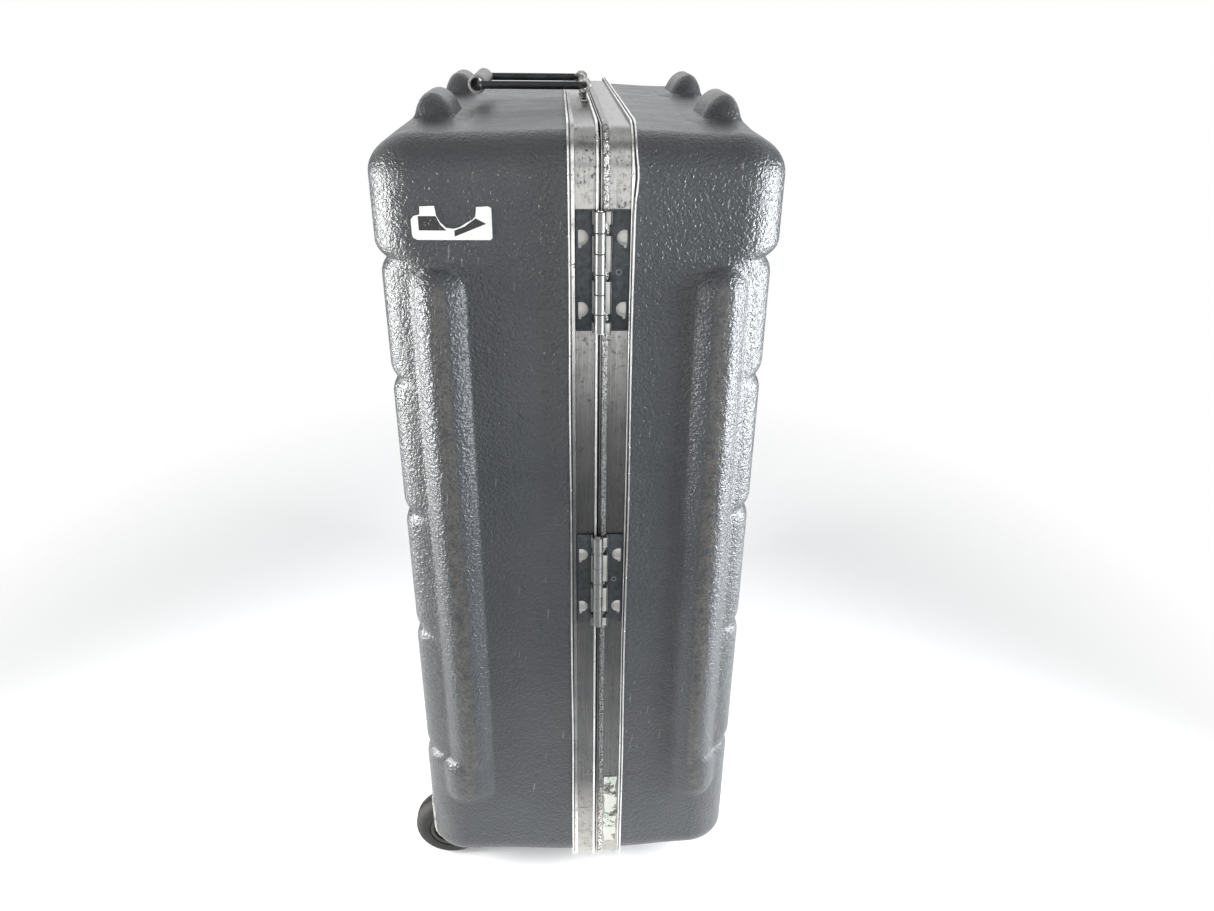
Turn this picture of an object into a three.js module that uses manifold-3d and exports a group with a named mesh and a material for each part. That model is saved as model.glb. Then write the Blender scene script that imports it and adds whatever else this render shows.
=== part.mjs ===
// A large two-half equipment case, standing on its end: thermoformed shells in a bent aluminium closure,
// two hinges, a folding tow handle on the top end, wheels under the base, latches and a carry handle.
// Millimetres, +Z up. While it is built, x = 0 is the parting plane (base at -x, lid at +x), y = 0 the middle
// of the depth (hinge side at -y, latch side at +y) and z = 0 the middle of the height. At the end the whole
// case is moved so that its origin is the middle of its footprint, on the floor.

import * as THREE from 'three';
import { mergeVertices } from 'three/addons/utils/BufferGeometryUtils.js';
import { RoundedBoxGeometry } from 'three/addons/geometries/RoundedBoxGeometry.js';
import Module from 'manifold-3d';

const wasm = await Module();
wasm.setup();

// ---------------------------------------------------------------- driving dimensions

const frameHeight = 877;      // outside the closure's lips
const frameDepth = 581;
const frameCorner = 41;       // radius of the closure's bent corners, outside
const lipHeight = 7;          // how far the closure's lips stand proud of the shells
const baseFace = 190;         // parting plane to the base's big face, between its pads
const lidFace = 154;
const basePads = [10, 6.5, 6.5, 6.5, 7.5, 9];   // heights of the pads across the big face, from the top down
const lidPads = [12, 6.5, 6, 5.5, 6, 5];
const wall = 3.5;             // shell thickness
const shellEdge = 42;         // how far the shell's rounded edges reach back from the big face
const draft = 0.012;          // the side walls lean in by this share of the half size, from rim to face
const gap = 0.4;              // clearance between pieces that touch

const ribLength = 662;        // side-wall ribs and the domes at the ends, in line with each other
const ribWidth = 46;
const ribHeight = 13;
const ribMiddle = -5.5;       // height of the ribs' middle
const baseRibX = -143;
const lidRibX = 112;
const domeLength = 112;
const domeWidth = 36;
const domeHeight = 24;
const domeOffset = 134.5;     // from the middle of the depth to each dome's middle

const hingeLength = 108;
const hingeHeights = [315, -8];   // middle of each hinge
const knuckleRadius = 4.2;
const hingePinRadius = 2.2;

const towRodRadius = 4;
const towSpan = 134;          // between the tow handle's arms
const towReach = 111;         // pivot to grip
const pivotX = -7;
const pivotLift = 12;         // pivot above the closure's lips

const wheelRadius = 45;
const wheelWidth = 32;
const wheelX = -179.5;
const wheelOffset = 235.5;    // from the middle of the depth to each wheel's middle

const latchHeights = [250, -250];
const carrySpan = 130;
const carryReach = 44;

// ---------------------------------------------------------------- materials

function finish(color, roughness, metalness) {
  return new THREE.MeshStandardMaterial({ color, roughness, metalness });
}


const shellPlastic = finish(0x5e6165, 0.5, 0);
const aluminium = finish(0xa8a8a4, 0.35, 0.9);
const zincPlate = finish(0x4b5156, 0.4, 0.8);
const brightSteel = finish(0xb4b4b0, 0.3, 0.9);
const darkSteel = finish(0x2a2a2a, 0.45, 0.7);
const gripTube = finish(0x87867f, 0.6, 0.1);
const rubber = finish(0x1e1d1c, 0.85, 0);
const hubPlastic = finish(0x3a3733, 0.6, 0);
const foam = finish(0x26272a, 0.95, 0);
const paper = finish(0xdcdad2, 0.8, 0);

// ---------------------------------------------------------------- solids, joined and cut

function solidOf(geometry) {
  const bare = geometry.clone();
  for (const name of Object.keys(bare.attributes)) {
    if (name !== 'position') bare.deleteAttribute(name);
  }
  const merged = mergeVertices(bare, 1e-4);
  const vertProperties = new Float32Array(merged.attributes.position.array);
  const triVerts = new Uint32Array(merged.index.array);
  return new wasm.Manifold(new wasm.Mesh({ numProp: 3, vertProperties, triVerts }));
}

function geometryOf(solid) {
  const { vertProperties, triVerts } = solid.getMesh();
  const geometry = new THREE.BufferGeometry();
  geometry.setAttribute('position', new THREE.BufferAttribute(vertProperties, 3));
  geometry.setIndex(new THREE.BufferAttribute(triVerts, 1));
  geometry.computeVertexNormals();
  return geometry;
}

const join = (...parts) => geometryOf(parts.map(solidOf).reduce((sum, part) => sum.add(part)));
const overlap = (a, b) => geometryOf(solidOf(a).intersect(solidOf(b)));

function cut(body, ...tools) {
  const rest = tools.map(solidOf).reduce((left, tool) => left.subtract(tool), solidOf(body));
  return geometryOf(rest);
}

// ---------------------------------------------------------------- shape helpers

function block(x0, x1, y0, y1, z0, z1) {
  const geometry = new THREE.BoxGeometry(x1 - x0, y1 - y0, z1 - z0);
  return geometry.translate((x0 + x1) / 2, (y0 + y1) / 2, (z0 + z1) / 2);
}

// A rounded rectangle in the yz plane, set in from the closure's outside by inset.
function outline(inset, Kind = THREE.Shape) {
  const y = frameDepth / 2 - inset;
  const z = frameHeight / 2 - inset;
  const r = frameCorner - inset;
  const path = new Kind();
  path.absarc(y - r, z - r, r, 0, Math.PI / 2);
  path.absarc(-y + r, z - r, r, Math.PI / 2, Math.PI);
  path.absarc(-y + r, -z + r, r, Math.PI, Math.PI * 1.5);
  path.absarc(y - r, -z + r, r, Math.PI * 1.5, Math.PI * 2);
  return path;
}

// Turns a shape drawn in (y, z) and extruded along z so that it is extruded along +x from x0.
function alongX(geometry, x0) {
  const place = new THREE.Matrix4().makeBasis(
    new THREE.Vector3(0, 1, 0), new THREE.Vector3(0, 0, 1), new THREE.Vector3(1, 0, 0));
  return geometry.applyMatrix4(place).translate(x0, 0, 0);
}

// One band of the closure, all round the case: from x0 to x1, and from low to high above the shell's wall.
function band(x0, x1, low, high) {
  const shape = outline(lipHeight - high);
  shape.holes.push(outline(lipHeight - low, THREE.Path));
  const steps = { depth: x1 - x0, bevelEnabled: false, curveSegments: 3 };
  return alongX(new THREE.ExtrudeGeometry(shape, steps), x0);
}

// A long pad with round ends and sloping sides. It lies along x in the xy plane and stands up z.
function capsulePad(length, width, height, slope) {
  const r = width / 2 - slope;
  const straight = length / 2 - slope - r;
  const shape = new THREE.Shape();
  shape.absarc(straight, 0, r, -Math.PI / 2, Math.PI / 2);
  shape.absarc(-straight, 0, r, Math.PI / 2, Math.PI * 1.5);
  const steps = { depth: wall, bevelThickness: height, bevelSize: slope, bevelSegments: 2, curveSegments: 4 };
  const geometry = new THREE.ExtrudeGeometry(shape, steps).translate(0, 0, -wall);
  return cut(geometry, block(-length, length, -width, width, -4 * height, -wall / 2));
}

// A round bar through these points, with ball corners.
function bar(points, radius, sides = 10) {
  const parts = [];
  points.slice(1).forEach((to, i) => {
    const from = points[i];
    const length = from.distanceTo(to);
    const leg = new THREE.CylinderGeometry(radius, radius, length, sides).translate(0, length / 2, 0);
    const turn = new THREE.Quaternion().setFromUnitVectors(
      new THREE.Vector3(0, 1, 0), to.clone().sub(from).normalize());
    parts.push(leg.applyQuaternion(turn).translate(from.x, from.y, from.z));
    if (i > 0) parts.push(new THREE.SphereGeometry(radius, sides, 6).translate(from.x, from.y, from.z));
  });
  return join(...parts);
}

// A cylinder with an optional bore, along y or z, from one end to the other.
function rod(radius, from, to, axis = 'y', bore = 0, sides = 12) {
  const points = [new THREE.Vector2(bore, from), new THREE.Vector2(radius, from),
    new THREE.Vector2(radius, to), new THREE.Vector2(bore, to)];
  if (bore > 0) points.push(points[0].clone());
  const geometry = new THREE.LatheGeometry(points, sides);
  return axis === 'z' ? geometry.rotateX(Math.PI / 2) : geometry;
}

const hardCase = new THREE.Group();

function piece(name, geometry, material, parent = hardCase) {
  const mesh = new THREE.Mesh(geometry, material);
  mesh.name = name;
  parent.add(mesh);
  return mesh;
}

// ---------------------------------------------------------------- shells

const wallY = frameDepth / 2 - lipHeight;     // outside of the shells' side walls, at the rim
const wallZ = frameHeight / 2 - lipHeight;
const shellCorner = frameCorner - lipHeight;
const rimX = 3;                               // the rims stop short of the parting plane

// Where the side wall stands at distance |x| from the parting plane, as a share of its place at the rim.
const lean = (x, face) => 1 - draft * Math.abs(x) / face;

// Half of a rounded box, open end at the rim, offset outwards by grow. side is -1 for the base.
function tub(face, side, grow) {
  const reach = face + grow;
  const stretch = shellEdge / shellCorner;
  const box = new RoundedBoxGeometry(
    2 * reach / stretch, 2 * (wallY + grow), 2 * (wallZ + grow), 4, shellCorner + grow);
  box.scale(stretch, 1, 1);
  const far = side * (reach + 60);
  const rim = side * (grow < 0 ? rimX - 2 : rimX);
  const size = frameHeight;
  const half = overlap(box, block(Math.min(rim, far), Math.max(rim, far), -size, size, -size, size));
  const p = half.attributes.position;
  for (let i = 0; i < p.count; i++) {
    const share = lean(p.getX(i), face);
    p.setXYZ(i, p.getX(i), p.getY(i) * share, p.getZ(i) * share);
  }
  return half;
}

// Pads across the big face, between grooves at these depths below the top of the closure.
const grooves = [114, 231, 378, 527, 700];
const grooveWidth = 16;

function pads(face, side, heights) {
  const edges = [0, ...grooves, frameHeight];
  const last = grooves.length;
  return heights.map((height, i) => {
    const top = frameHeight / 2 - edges[i] - grooveWidth / 2;
    const base = frameHeight / 2 - edges[i + 1] + grooveWidth / 2;
    if (i === 0) return endZone(face + height, side, base, frameHeight);
    if (i === last) return endZone(face + height, side, -frameHeight, top);
    const slab = slabPad(height, base, top);
    return side < 0 ? slab.translate(face, 0, 0).rotateZ(Math.PI) : slab.translate(face, 0, 0);
  });
}

// The zones next to the two ends stand proud as a whole, rounded edges included.
function endZone(face, side, z0, z1) {
  return overlap(tub(face, side, 0), block(-1000, 1000, -1000, 1000, z0, z1));
}

// A flat pad across the big face with sloping sides, standing out from x = 0.
function slabPad(height, base, top) {
  const slope = 7;
  const y = wallY - shellEdge - slope + 6;
  const shape = new THREE.Shape();
  shape.moveTo(-y, base + slope).lineTo(y, base + slope).lineTo(y, top - slope).lineTo(-y, top - slope);
  const steps = { depth: wall, bevelThickness: height, bevelSize: slope, bevelSegments: 2 };
  const slab = new THREE.ExtrudeGeometry(shape, steps);
  const trimmed = cut(slab, block(-1000, 1000, -1000, 1000, -100, wall / 2));
  return alongX(trimmed, -wall);
}

// The long ribs on the two side walls and the domes on the two ends, as raised capsules.
function ribs(face, side, x, bottomDomes) {
  const parts = [];
  const share = lean(x, face);
  for (const sign of [-1, 1]) {
    const rib = capsulePad(ribLength, ribWidth, ribHeight, 12);
    rib.rotateY(Math.PI / 2).rotateZ(sign * Math.PI / 2);
    parts.push(rib.translate(x, sign * wallY * share, ribMiddle));
    for (const end of bottomDomes ? [-1, 1] : [1]) {
      const dome = capsulePad(domeLength, domeWidth, domeHeight, 10);
      dome.rotateZ(Math.PI / 2);
      if (end < 0) dome.rotateX(Math.PI);
      parts.push(dome.translate(x, sign * domeOffset, end * wallZ * share));
    }
  }
  return parts;
}

const domeFoot = wallZ * lean(lidRibX, lidFace) + domeHeight;
const wheelZ = wheelRadius - domeFoot;        // the wheels and the lid's domes stand on one floor
const wellTop = wheelZ + wheelRadius + 8;
const wellInner = wheelX + wheelRadius + 7;
const wellHalf = wheelWidth / 2 + 6;
const plate = 2;                  // steel of the wheel wells

function wellSpace(y, extra) {
  const half = wellHalf + extra;
  return block(-2 * baseFace, wellInner + extra, y - half, y + half, -frameHeight, wellTop + extra);
}

function lathed(points, y, sides) {
  const geometry = new THREE.LatheGeometry(points.map(([r, h]) => new THREE.Vector2(r, h)), sides);
  return geometry.translate(wheelX, y, wheelZ);
}

const axleRadius = 5;
const axleHead = 8;
const axleEnd = wellHalf + 4;

function axleSpace(y, extra) {
  const radius = axleHead + extra;
  const end = axleEnd + extra;
  return lathed([[0, -end], [radius, -end], [radius, end], [0, end]], y, 12);
}

// The rims are trimmed to the slot between the closure's web and its inner flange.
const slotTools = (x0, x1) => [band(x0, x1, 0, 2 * lipHeight), band(x0, x1, -wall - 8, -wall)];

function shells() {
  const wells = [-wheelOffset, wheelOffset].flatMap((y) => [wellSpace(y, gap), axleSpace(y, 4 * gap)]);
  const baseOutside = [...pads(baseFace, -1, basePads), ...ribs(baseFace, -1, baseRibX, false)];
  const baseSkin = join(tub(baseFace, -1, 0), ...baseOutside);
  const baseTools = [tub(baseFace, -1, -wall), ...slotTools(-28, 0), ...wells];
  piece('base_shell', cut(baseSkin, ...baseTools), shellPlastic);
  const lidOutside = [...pads(lidFace, 1, lidPads), ...ribs(lidFace, 1, lidRibX, true)];
  const lidSkin = join(tub(lidFace, 1, 0), ...lidOutside);
  piece('lid_shell', cut(lidSkin, tub(lidFace, 1, -wall), ...slotTools(0, 32)), shellPlastic);
}

// ---------------------------------------------------------------- closure

const web = 1.6;                  // thickness of the extrusions' walls
const seat = gap;                 // the web lies this far off the shell
const floor = seat + web;         // top of the channel floor, above the shell
const flangeTop = -wall - gap;
const flangeLow = flangeTop - web;
const seamZ = -frameHeight / 2 + 101;
const seamWidth = 0.8;

// Each extrusion is bent round in one length, so it has one butt seam, low on the hinge side.
function seamCut(x0, x1) {
  const half = seamWidth / 2;
  return block(x0, x1, -frameDepth, -frameDepth / 2 + frameCorner, seamZ - half, seamZ + half);
}

function closure() {
  const base = join(
    band(-27.5, -0.6, seat, floor),
    band(-27.5, -25.8, seat, 6.5),
    band(-24.8, -21.4, seat, 5.5),
    band(-3.4, -1.2, seat, 6.5),
    band(-2.2, -0.6, flangeLow, floor),
    band(-24, -0.6, flangeLow, flangeTop),
    band(-6, -4.6, flangeLow - 2.4, flangeTop));
  piece('base_closure', cut(base, seamCut(-40, 0)), aluminium);
  const lid = join(
    band(0.6, 31.2, seat, floor),
    band(0.6, 1.9, flangeLow - 4.2, 6.5),
    band(2.8, 8.2, seat, 5.2),
    band(26.6, 28.2, seat, 6.5),
    band(29.6, 31.2, seat, lipHeight),
    band(0.6, 24, flangeLow, flangeTop),
    band(-4.2, 1.9, flangeLow - 4.2, flangeLow - 2.8));
  piece('lid_closure', cut(lid, seamCut(-20, 40)), aluminium);
  piece('gasket', band(-4.2, -0.3, flangeLow - 2.3, flangeLow - gap), rubber);
}

// A joining plate inside the closure, behind each butt seam.
function spliceZones() {
  const y = -frameDepth / 2 + lipHeight - flangeLow + gap;
  piece('base_splice_plate', block(-22, -8, y, y + 2, seamZ - 35, seamZ + 35), aluminium);
  piece('lid_splice_plate', block(8, 22, y, y + 2, seamZ - 35, seamZ + 35), aluminium);
}

// ---------------------------------------------------------------- hinges

const hingeY = -wallY;            // the shell's wall on the hinge side: hinge parts stand out from it
const leafLow = floor + gap;
const leafThick = 1.8;
const knuckleRise = 10.9;         // knuckle axis above the shell, so that the knuckles clear the lips

const hingeBlock = (x0, x1, low, high, z0, z1) => block(x0, x1, hingeY - high, hingeY - low, z0, z1);

// One leaf: a plate in the channel, a step up over the lips, and every second knuckle.
function leaf(side, z, plateFrom, plateTo, first) {
  const span = (a, b) => (side < 0 ? [-b, -a] : [a, b]);
  const low = z - hingeLength / 2;
  const high = z + hingeLength / 2;
  const step = knuckleRise + 0.9;
  const parts = [
    hingeBlock(...span(plateFrom, plateTo), leafLow, leafLow + leafThick, low, high),
    hingeBlock(...span(plateFrom, plateFrom + leafThick), leafLow, step, low, high),
    hingeBlock(...span(5.1, plateFrom + leafThick), step - leafThick, step, low, high)];
  const knuckle = hingeLength / 6;
  for (let i = first; i < 6; i += 2) {
    const z0 = low + i * knuckle + gap / 2;
    const z1 = z0 + knuckle - gap;
    parts.push(rod(knuckleRadius, z0, z1, 'z').translate(0, hingeY - knuckleRise, 0));
    parts.push(hingeBlock(...span(2, 5.4), step - leafThick, step, z0, z1));
  }
  const headRise = leafLow + leafThick + 1.4;
  for (const end of [-1, 1]) {
    parts.push(rod(5.5, 0, 1.6).translate(side * (plateTo - 6), hingeY - headRise, z + end * 38));
  }
  const bore = rod(hingePinRadius + 0.3, low - 5, high + 5, 'z').translate(0, hingeY - knuckleRise, 0);
  return cut(join(...parts), bore);
}

function hinges() {
  ['upper', 'middle'].forEach((name, i) => {
    const z = hingeHeights[i];
    piece(`${name}_hinge_base_leaf`, leaf(-1, z, 4.7, 20.9, 1), zincPlate);
    piece(`${name}_hinge_lid_leaf`, leaf(1, z, 8.7, 26.1, 0), zincPlate);
    const pin = rod(hingePinRadius, z - hingeLength / 2 - 1, z + hingeLength / 2 + 1, 'z');
    piece(`${name}_hinge_pin`, pin.translate(0, hingeY - knuckleRise, 0), brightSteel);
  });
}

// ---------------------------------------------------------------- folding handles

// A bent rod with in-turned ends, lying towards -x from its pivot, which runs along y.
function bailRod(span, reach, radius) {
  const half = span / 2;
  const inTurn = 20;
  const arm = (sign) => [[0, sign * (half - inTurn)], [0, sign * half], [-reach, sign * half]];
  const points = [...arm(-1), ...arm(1).reverse()];
  return bar(points.map(([x, y]) => new THREE.Vector3(x, y, 0)), radius);
}

// A rolled tube round the rod's far side.
function bailGrip(span, reach, outer, inner, length) {
  return rod(outer, -length / 2, length / 2, 'y', inner).translate(-reach, 0, 0);
}

// A foot plate and a round-topped ear that the rod's end turns in. sign says which end of the span it serves.
function bailBracket(span, radius, sign, drop, footWidth) {
  const earThick = 4;
  const y = sign * (span / 2 - 11);
  const top = radius + 3.4;
  const neck = -drop + 5.5;       // straight up to here, clear of the closure's lips
  const shape = new THREE.Shape();
  shape.moveTo(-footWidth / 2, -drop).lineTo(footWidth / 2, -drop).lineTo(footWidth / 2, neck).lineTo(top, 0);
  shape.absarc(0, 0, top, 0, Math.PI).lineTo(-footWidth / 2, neck);
  const ear = new THREE.ExtrudeGeometry(shape, { depth: earThick, bevelEnabled: false, curveSegments: 8 });
  ear.rotateX(Math.PI / 2).translate(0, y + earThick / 2, 0);
  const foot = block(-footWidth / 2, footWidth / 2, y - 13, y + 13, -drop, -drop + 2);
  const bore = rod(radius + 0.3, y - 10, y + 10);
  return cut(join(ear, foot), bore);
}

function towHandle() {
  const handle = new THREE.Group();
  handle.position.set(pivotX, 0, frameHeight / 2 + pivotLift);
  hardCase.add(handle);
  piece('tow_handle_rod', bailRod(towSpan, towReach, towRodRadius), darkSteel, handle);
  const grip = bailGrip(towSpan, towReach, 9.3, towRodRadius + 2.6, towSpan - 24);
  piece('tow_handle_grip', grip, gripTube, handle);
  const drop = pivotLift + lipHeight - floor - gap;
  piece('tow_bracket_near', bailBracket(towSpan, towRodRadius, -1, drop, 6.6), darkSteel, handle);
  piece('tow_bracket_far', bailBracket(towSpan, towRodRadius, 1, drop, 6.6), darkSteel, handle);
}

function carryHandle() {
  const lift = 8;
  const handle = new THREE.Group();
  handle.position.set(-12.5, frameDepth / 2 + lift, 0);
  handle.rotation.x = -Math.PI / 2;
  hardCase.add(handle);
  const radius = 3;
  piece('carry_handle_rod', bailRod(carrySpan, carryReach, radius), darkSteel, handle);
  const grip = bailGrip(carrySpan, carryReach, 9, radius + 2.2, carrySpan - 20);
  piece('carry_handle_grip', grip, rubber, handle);
  const drop = lift + lipHeight - floor - gap;
  piece('carry_bracket_upper', bailBracket(carrySpan, radius, -1, drop, 15), zincPlate, handle);
  piece('carry_bracket_lower', bailBracket(carrySpan, radius, 1, drop, 15), zincPlate, handle);
}

// ---------------------------------------------------------------- wheels

function wheels() {
  [['near', -wheelOffset], ['far', wheelOffset]].forEach(([name, y]) => {
    const flange = overlap(tub(baseFace + basePads.at(-1), -1, plate), wellSpace(y, 0));
    const axleBore = rod(axleRadius + gap, y - 60, y + 60).translate(wheelX, 0, wheelZ);
    const well = cut(flange, wellSpace(y, -plate), axleBore);
    piece(`${name}_wheel_well`, well, brightSteel);
    piece(`${name}_wheel_axle`, axle(y), brightSteel);
    piece(`${name}_wheel_hub`, hub(y), hubPlastic);
    piece(`${name}_wheel_tyre`, tyre(y), rubber);
  });
}

function axle(y) {
  const inside = wellHalf + gap;
  return lathed([[0, -axleEnd], [axleHead, -axleEnd], [axleHead, -inside], [axleRadius, -inside],
    [axleRadius, inside], [axleHead, inside], [axleHead, axleEnd], [0, axleEnd]], y, 16);
}

function hub(y) {
  const half = wheelWidth / 2 - 1;
  const boss = wellHalf - plate - 1;
  return lathed([[5.1, -boss], [9, -boss], [9, -half + 4], [22, -half + 4], [22, -half], [27, -half],
    [27, half], [22, half], [22, half - 4], [9, half - 4], [9, boss], [5.1, boss], [5.1, -boss]], y, 20);
}

function tyre(y) {
  const half = wheelWidth / 2;
  const shoulder = 12;
  const inner = 27 + gap;
  const points = [[inner, -half]];
  for (let i = 0; i <= 3; i++) {
    const a = Math.PI / 2 * i / 3;
    points.push([wheelRadius - shoulder + shoulder * Math.sin(a), -half + shoulder - shoulder * Math.cos(a)]);
  }
  for (let i = 3; i >= 0; i--) {
    const a = Math.PI / 2 * i / 3;
    points.push([wheelRadius - shoulder + shoulder * Math.sin(a), half - shoulder + shoulder * Math.cos(a)]);
  }
  points.push([inner, half], [inner, -half]);
  return lathed(points, y, 28);
}

// ---------------------------------------------------------------- latches

const latchY = wallY;             // the shell's wall on the latch side
const latchPivot = [-12, 7.5];    // x, and height above the shell
const hookPivot = [-20, 9];
const ridgeTop = 8;               // height of the keeper's ridge above the shell

const at = ([x, rise]) => [x, latchY + rise, 0];

function latchBlock(x0, x1, low, high, z0, z1) {
  return block(x0, x1, latchY + low, latchY + high, z0, z1);
}

function latchParts(name, z) {
  const station = new THREE.Group();
  station.position.z = z;
  hardCase.add(station);
  const ear = (z0, z1) => latchBlock(-15.2, -8.8, leafLow, 10, z0, z1);
  const pin = rod(1.8, -26, 26, 'z').translate(...at(latchPivot));
  const basePlate = latchBlock(-20.9, -3.8, leafLow, leafLow + 1.5, -30, 30);
  piece(`${name}_latch_plate`, join(basePlate, ear(-26, -23.5), ear(23.5, 26), pin), zincPlate, station);
  piece(`${name}_latch_lever`, latchLever(), zincPlate, station);
  piece(`${name}_latch_hook`, latchHook(), brightSteel, station);
  const keeperPlate = latchBlock(8.7, 26.1, leafLow, leafLow + 1.5, -24, 24);
  const ridge = latchBlock(12.6, 15, leafLow, ridgeTop, -18, 18);
  piece(`${name}_latch_keeper`, join(keeperPlate, ridge), zincPlate, station);
}

// A thumb plate over two cheeks, which turn on the plate's pin and carry the hook's pin.
function latchLever() {
  const cheek = (z0, z1) => {
    const pivot = rod(3.2, z0, z1, 'z').translate(...at(latchPivot));
    const hookEnd = rod(3.2, z0, z1, 'z').translate(...at(hookPivot));
    return [pivot, hookEnd, latchBlock(-20, -12, 6, 10.7, z0, z1), latchBlock(-30, -19, 9, 12.6, z0, z1)];
  };
  const thumb = latchBlock(-48, -24, 12.3, 14, -22.6, 22.6);
  const lip = latchBlock(-48, -46.2, 9, 14, -22.6, 22.6);
  const hookPin = rod(1.5, -21, 21, 'z').translate(...at(hookPivot));
  const bore = rod(1.8 + gap, -40, 40, 'z').translate(...at(latchPivot));
  return cut(join(...cheek(-22.6, -20.4), ...cheek(20.4, 22.6), thumb, lip, hookPin), bore);
}

// A strap from the lever's pin, over the parting plane, to a claw beyond the keeper's ridge.
function latchHook() {
  const half = 17;
  const eye = rod(2.9, -half, half, 'z').translate(...at(hookPivot));
  const strap = latchBlock(-20, 18.2, 10, 11.6, -half, half);
  const claw = latchBlock(16.2, 18.2, ridgeTop + gap, 11.6, -half, half);
  const bore = rod(1.5 + gap, -2 * half, 2 * half, 'z').translate(...at(hookPivot));
  return cut(join(eye, strap, claw), bore);
}

// ---------------------------------------------------------------- foam and labels

const wellMargin = 75;            // the base's pocket stops this much further up, above the wheel wells

// A foam tray: a rounded block that fits the shell, with one pocket open to the parting plane.
function foamTray(face, side) {
  const reach = face - wall - 3;
  const inset = 14;
  const box = new RoundedBoxGeometry(2 * reach, 2 * (wallY - inset), 2 * (wallZ - inset), 3, shellEdge);
  const rim = 8;
  const size = frameHeight;
  const across = (from, to) => (side < 0 ? [-to, -from] : [from, to]);
  const half = block(...across(rim, reach + wall), -size, size, -size, size);
  const margin = 45;
  const floorX = reach - margin;
  const bottom = side < 0 ? -wallZ + margin + wellMargin : -wallZ + margin;
  const pocket = block(...across(0, floorX), -wallY + margin, wallY - margin, bottom, wallZ - margin);
  const clear = 8;
  const wells = side < 0 ? [-wheelOffset, wheelOffset].map((y) => wellSpace(y, clear)) : [];
  return cut(overlap(box, half), pocket, ...wells);
}

function linings() {
  piece('base_foam', foamTray(baseFace, -1), foam);
  piece('lid_foam', foamTray(lidFace, 1), foam);
}

function labels() {
  const thick = 0.5;
  const width = 71;
  const height = 30;
  const x = -127;
  const z = frameHeight / 2 - 82;
  const face = baseFace + basePads[0];
  const sticker = new THREE.BoxGeometry(width, thick, height);
  sticker.rotateZ(-Math.atan(draft * wallY / face));
  piece('shell_label', sticker.translate(x, -wallY * lean(x, face) - gap - thick / 2, z), paper);
  const y = -wallY - leafLow;
  piece('closure_label', block(8.8, 26, y - thick, y, -frameHeight / 2 + 45, -frameHeight / 2 + 150), paper);
}

// ---------------------------------------------------------------- the case

shells();
closure();
spliceZones();
hinges();
towHandle();
carryHandle();
wheels();
latchParts('upper', latchHeights[0]);
latchParts('lower', latchHeights[1]);
linings();
labels();

const bounds = new THREE.Box3().setFromObject(hardCase);
const middle = bounds.getCenter(new THREE.Vector3());
hardCase.position.set(-middle.x, -middle.y, -bounds.min.z);

export default hardCase;
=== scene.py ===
"""A large two-half equipment case: thermoformed shells in a bent aluminium closure, two hinges, a folding
tow handle, wheels, latches and a carry handle. Pieces are built in millimetres round the middle of the
closure, where x = 0 is the parting plane, and are moved to the frame, in metres, when they are finished."""

import math

import bmesh
import bpy
import numpy as np
from mathutils import Matrix, Vector


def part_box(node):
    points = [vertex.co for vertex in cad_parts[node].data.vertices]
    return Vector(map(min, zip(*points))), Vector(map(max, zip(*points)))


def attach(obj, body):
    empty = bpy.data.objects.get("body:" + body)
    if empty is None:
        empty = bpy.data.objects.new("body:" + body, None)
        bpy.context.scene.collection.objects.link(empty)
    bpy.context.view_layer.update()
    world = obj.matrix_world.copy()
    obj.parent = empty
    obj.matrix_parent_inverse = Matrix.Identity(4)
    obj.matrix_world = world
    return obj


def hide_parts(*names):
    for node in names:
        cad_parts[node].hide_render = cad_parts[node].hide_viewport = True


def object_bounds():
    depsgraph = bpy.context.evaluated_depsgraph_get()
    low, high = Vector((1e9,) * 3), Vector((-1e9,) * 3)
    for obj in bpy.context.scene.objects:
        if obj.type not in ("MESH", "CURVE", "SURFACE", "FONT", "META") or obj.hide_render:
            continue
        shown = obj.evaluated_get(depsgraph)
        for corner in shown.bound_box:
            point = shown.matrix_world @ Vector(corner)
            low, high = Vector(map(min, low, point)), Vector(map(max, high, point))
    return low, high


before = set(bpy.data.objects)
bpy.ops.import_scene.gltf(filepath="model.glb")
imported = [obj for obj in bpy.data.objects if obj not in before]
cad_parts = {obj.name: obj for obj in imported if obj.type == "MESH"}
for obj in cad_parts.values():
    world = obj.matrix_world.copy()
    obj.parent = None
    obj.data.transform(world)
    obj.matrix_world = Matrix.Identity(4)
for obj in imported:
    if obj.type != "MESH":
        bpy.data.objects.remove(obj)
cad_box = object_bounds()

# -------- sizes, in millimetres

MM = 0.001
closure_low, closure_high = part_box("lid_closure")
base_shell_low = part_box("base_shell")[0]
lid_shell_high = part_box("lid_shell")[1]

frame_depth = (closure_high.y - closure_low.y) / MM
frame_height = (closure_high.z - closure_low.z) / MM
frame_corner = 41             # radius of the closure's bent corners, outside
lip_height = 7                # how far the closure's lips stand proud of the shells
lid_width = 31.2              # parting plane to the closure's outer lip, on the lid
gap = 0.4                     # between pieces that touch

origin = Vector((closure_high.x - lid_width * MM,
                 (closure_low.y + closure_high.y) / 2,
                 (closure_low.z + closure_high.z) / 2))

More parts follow.
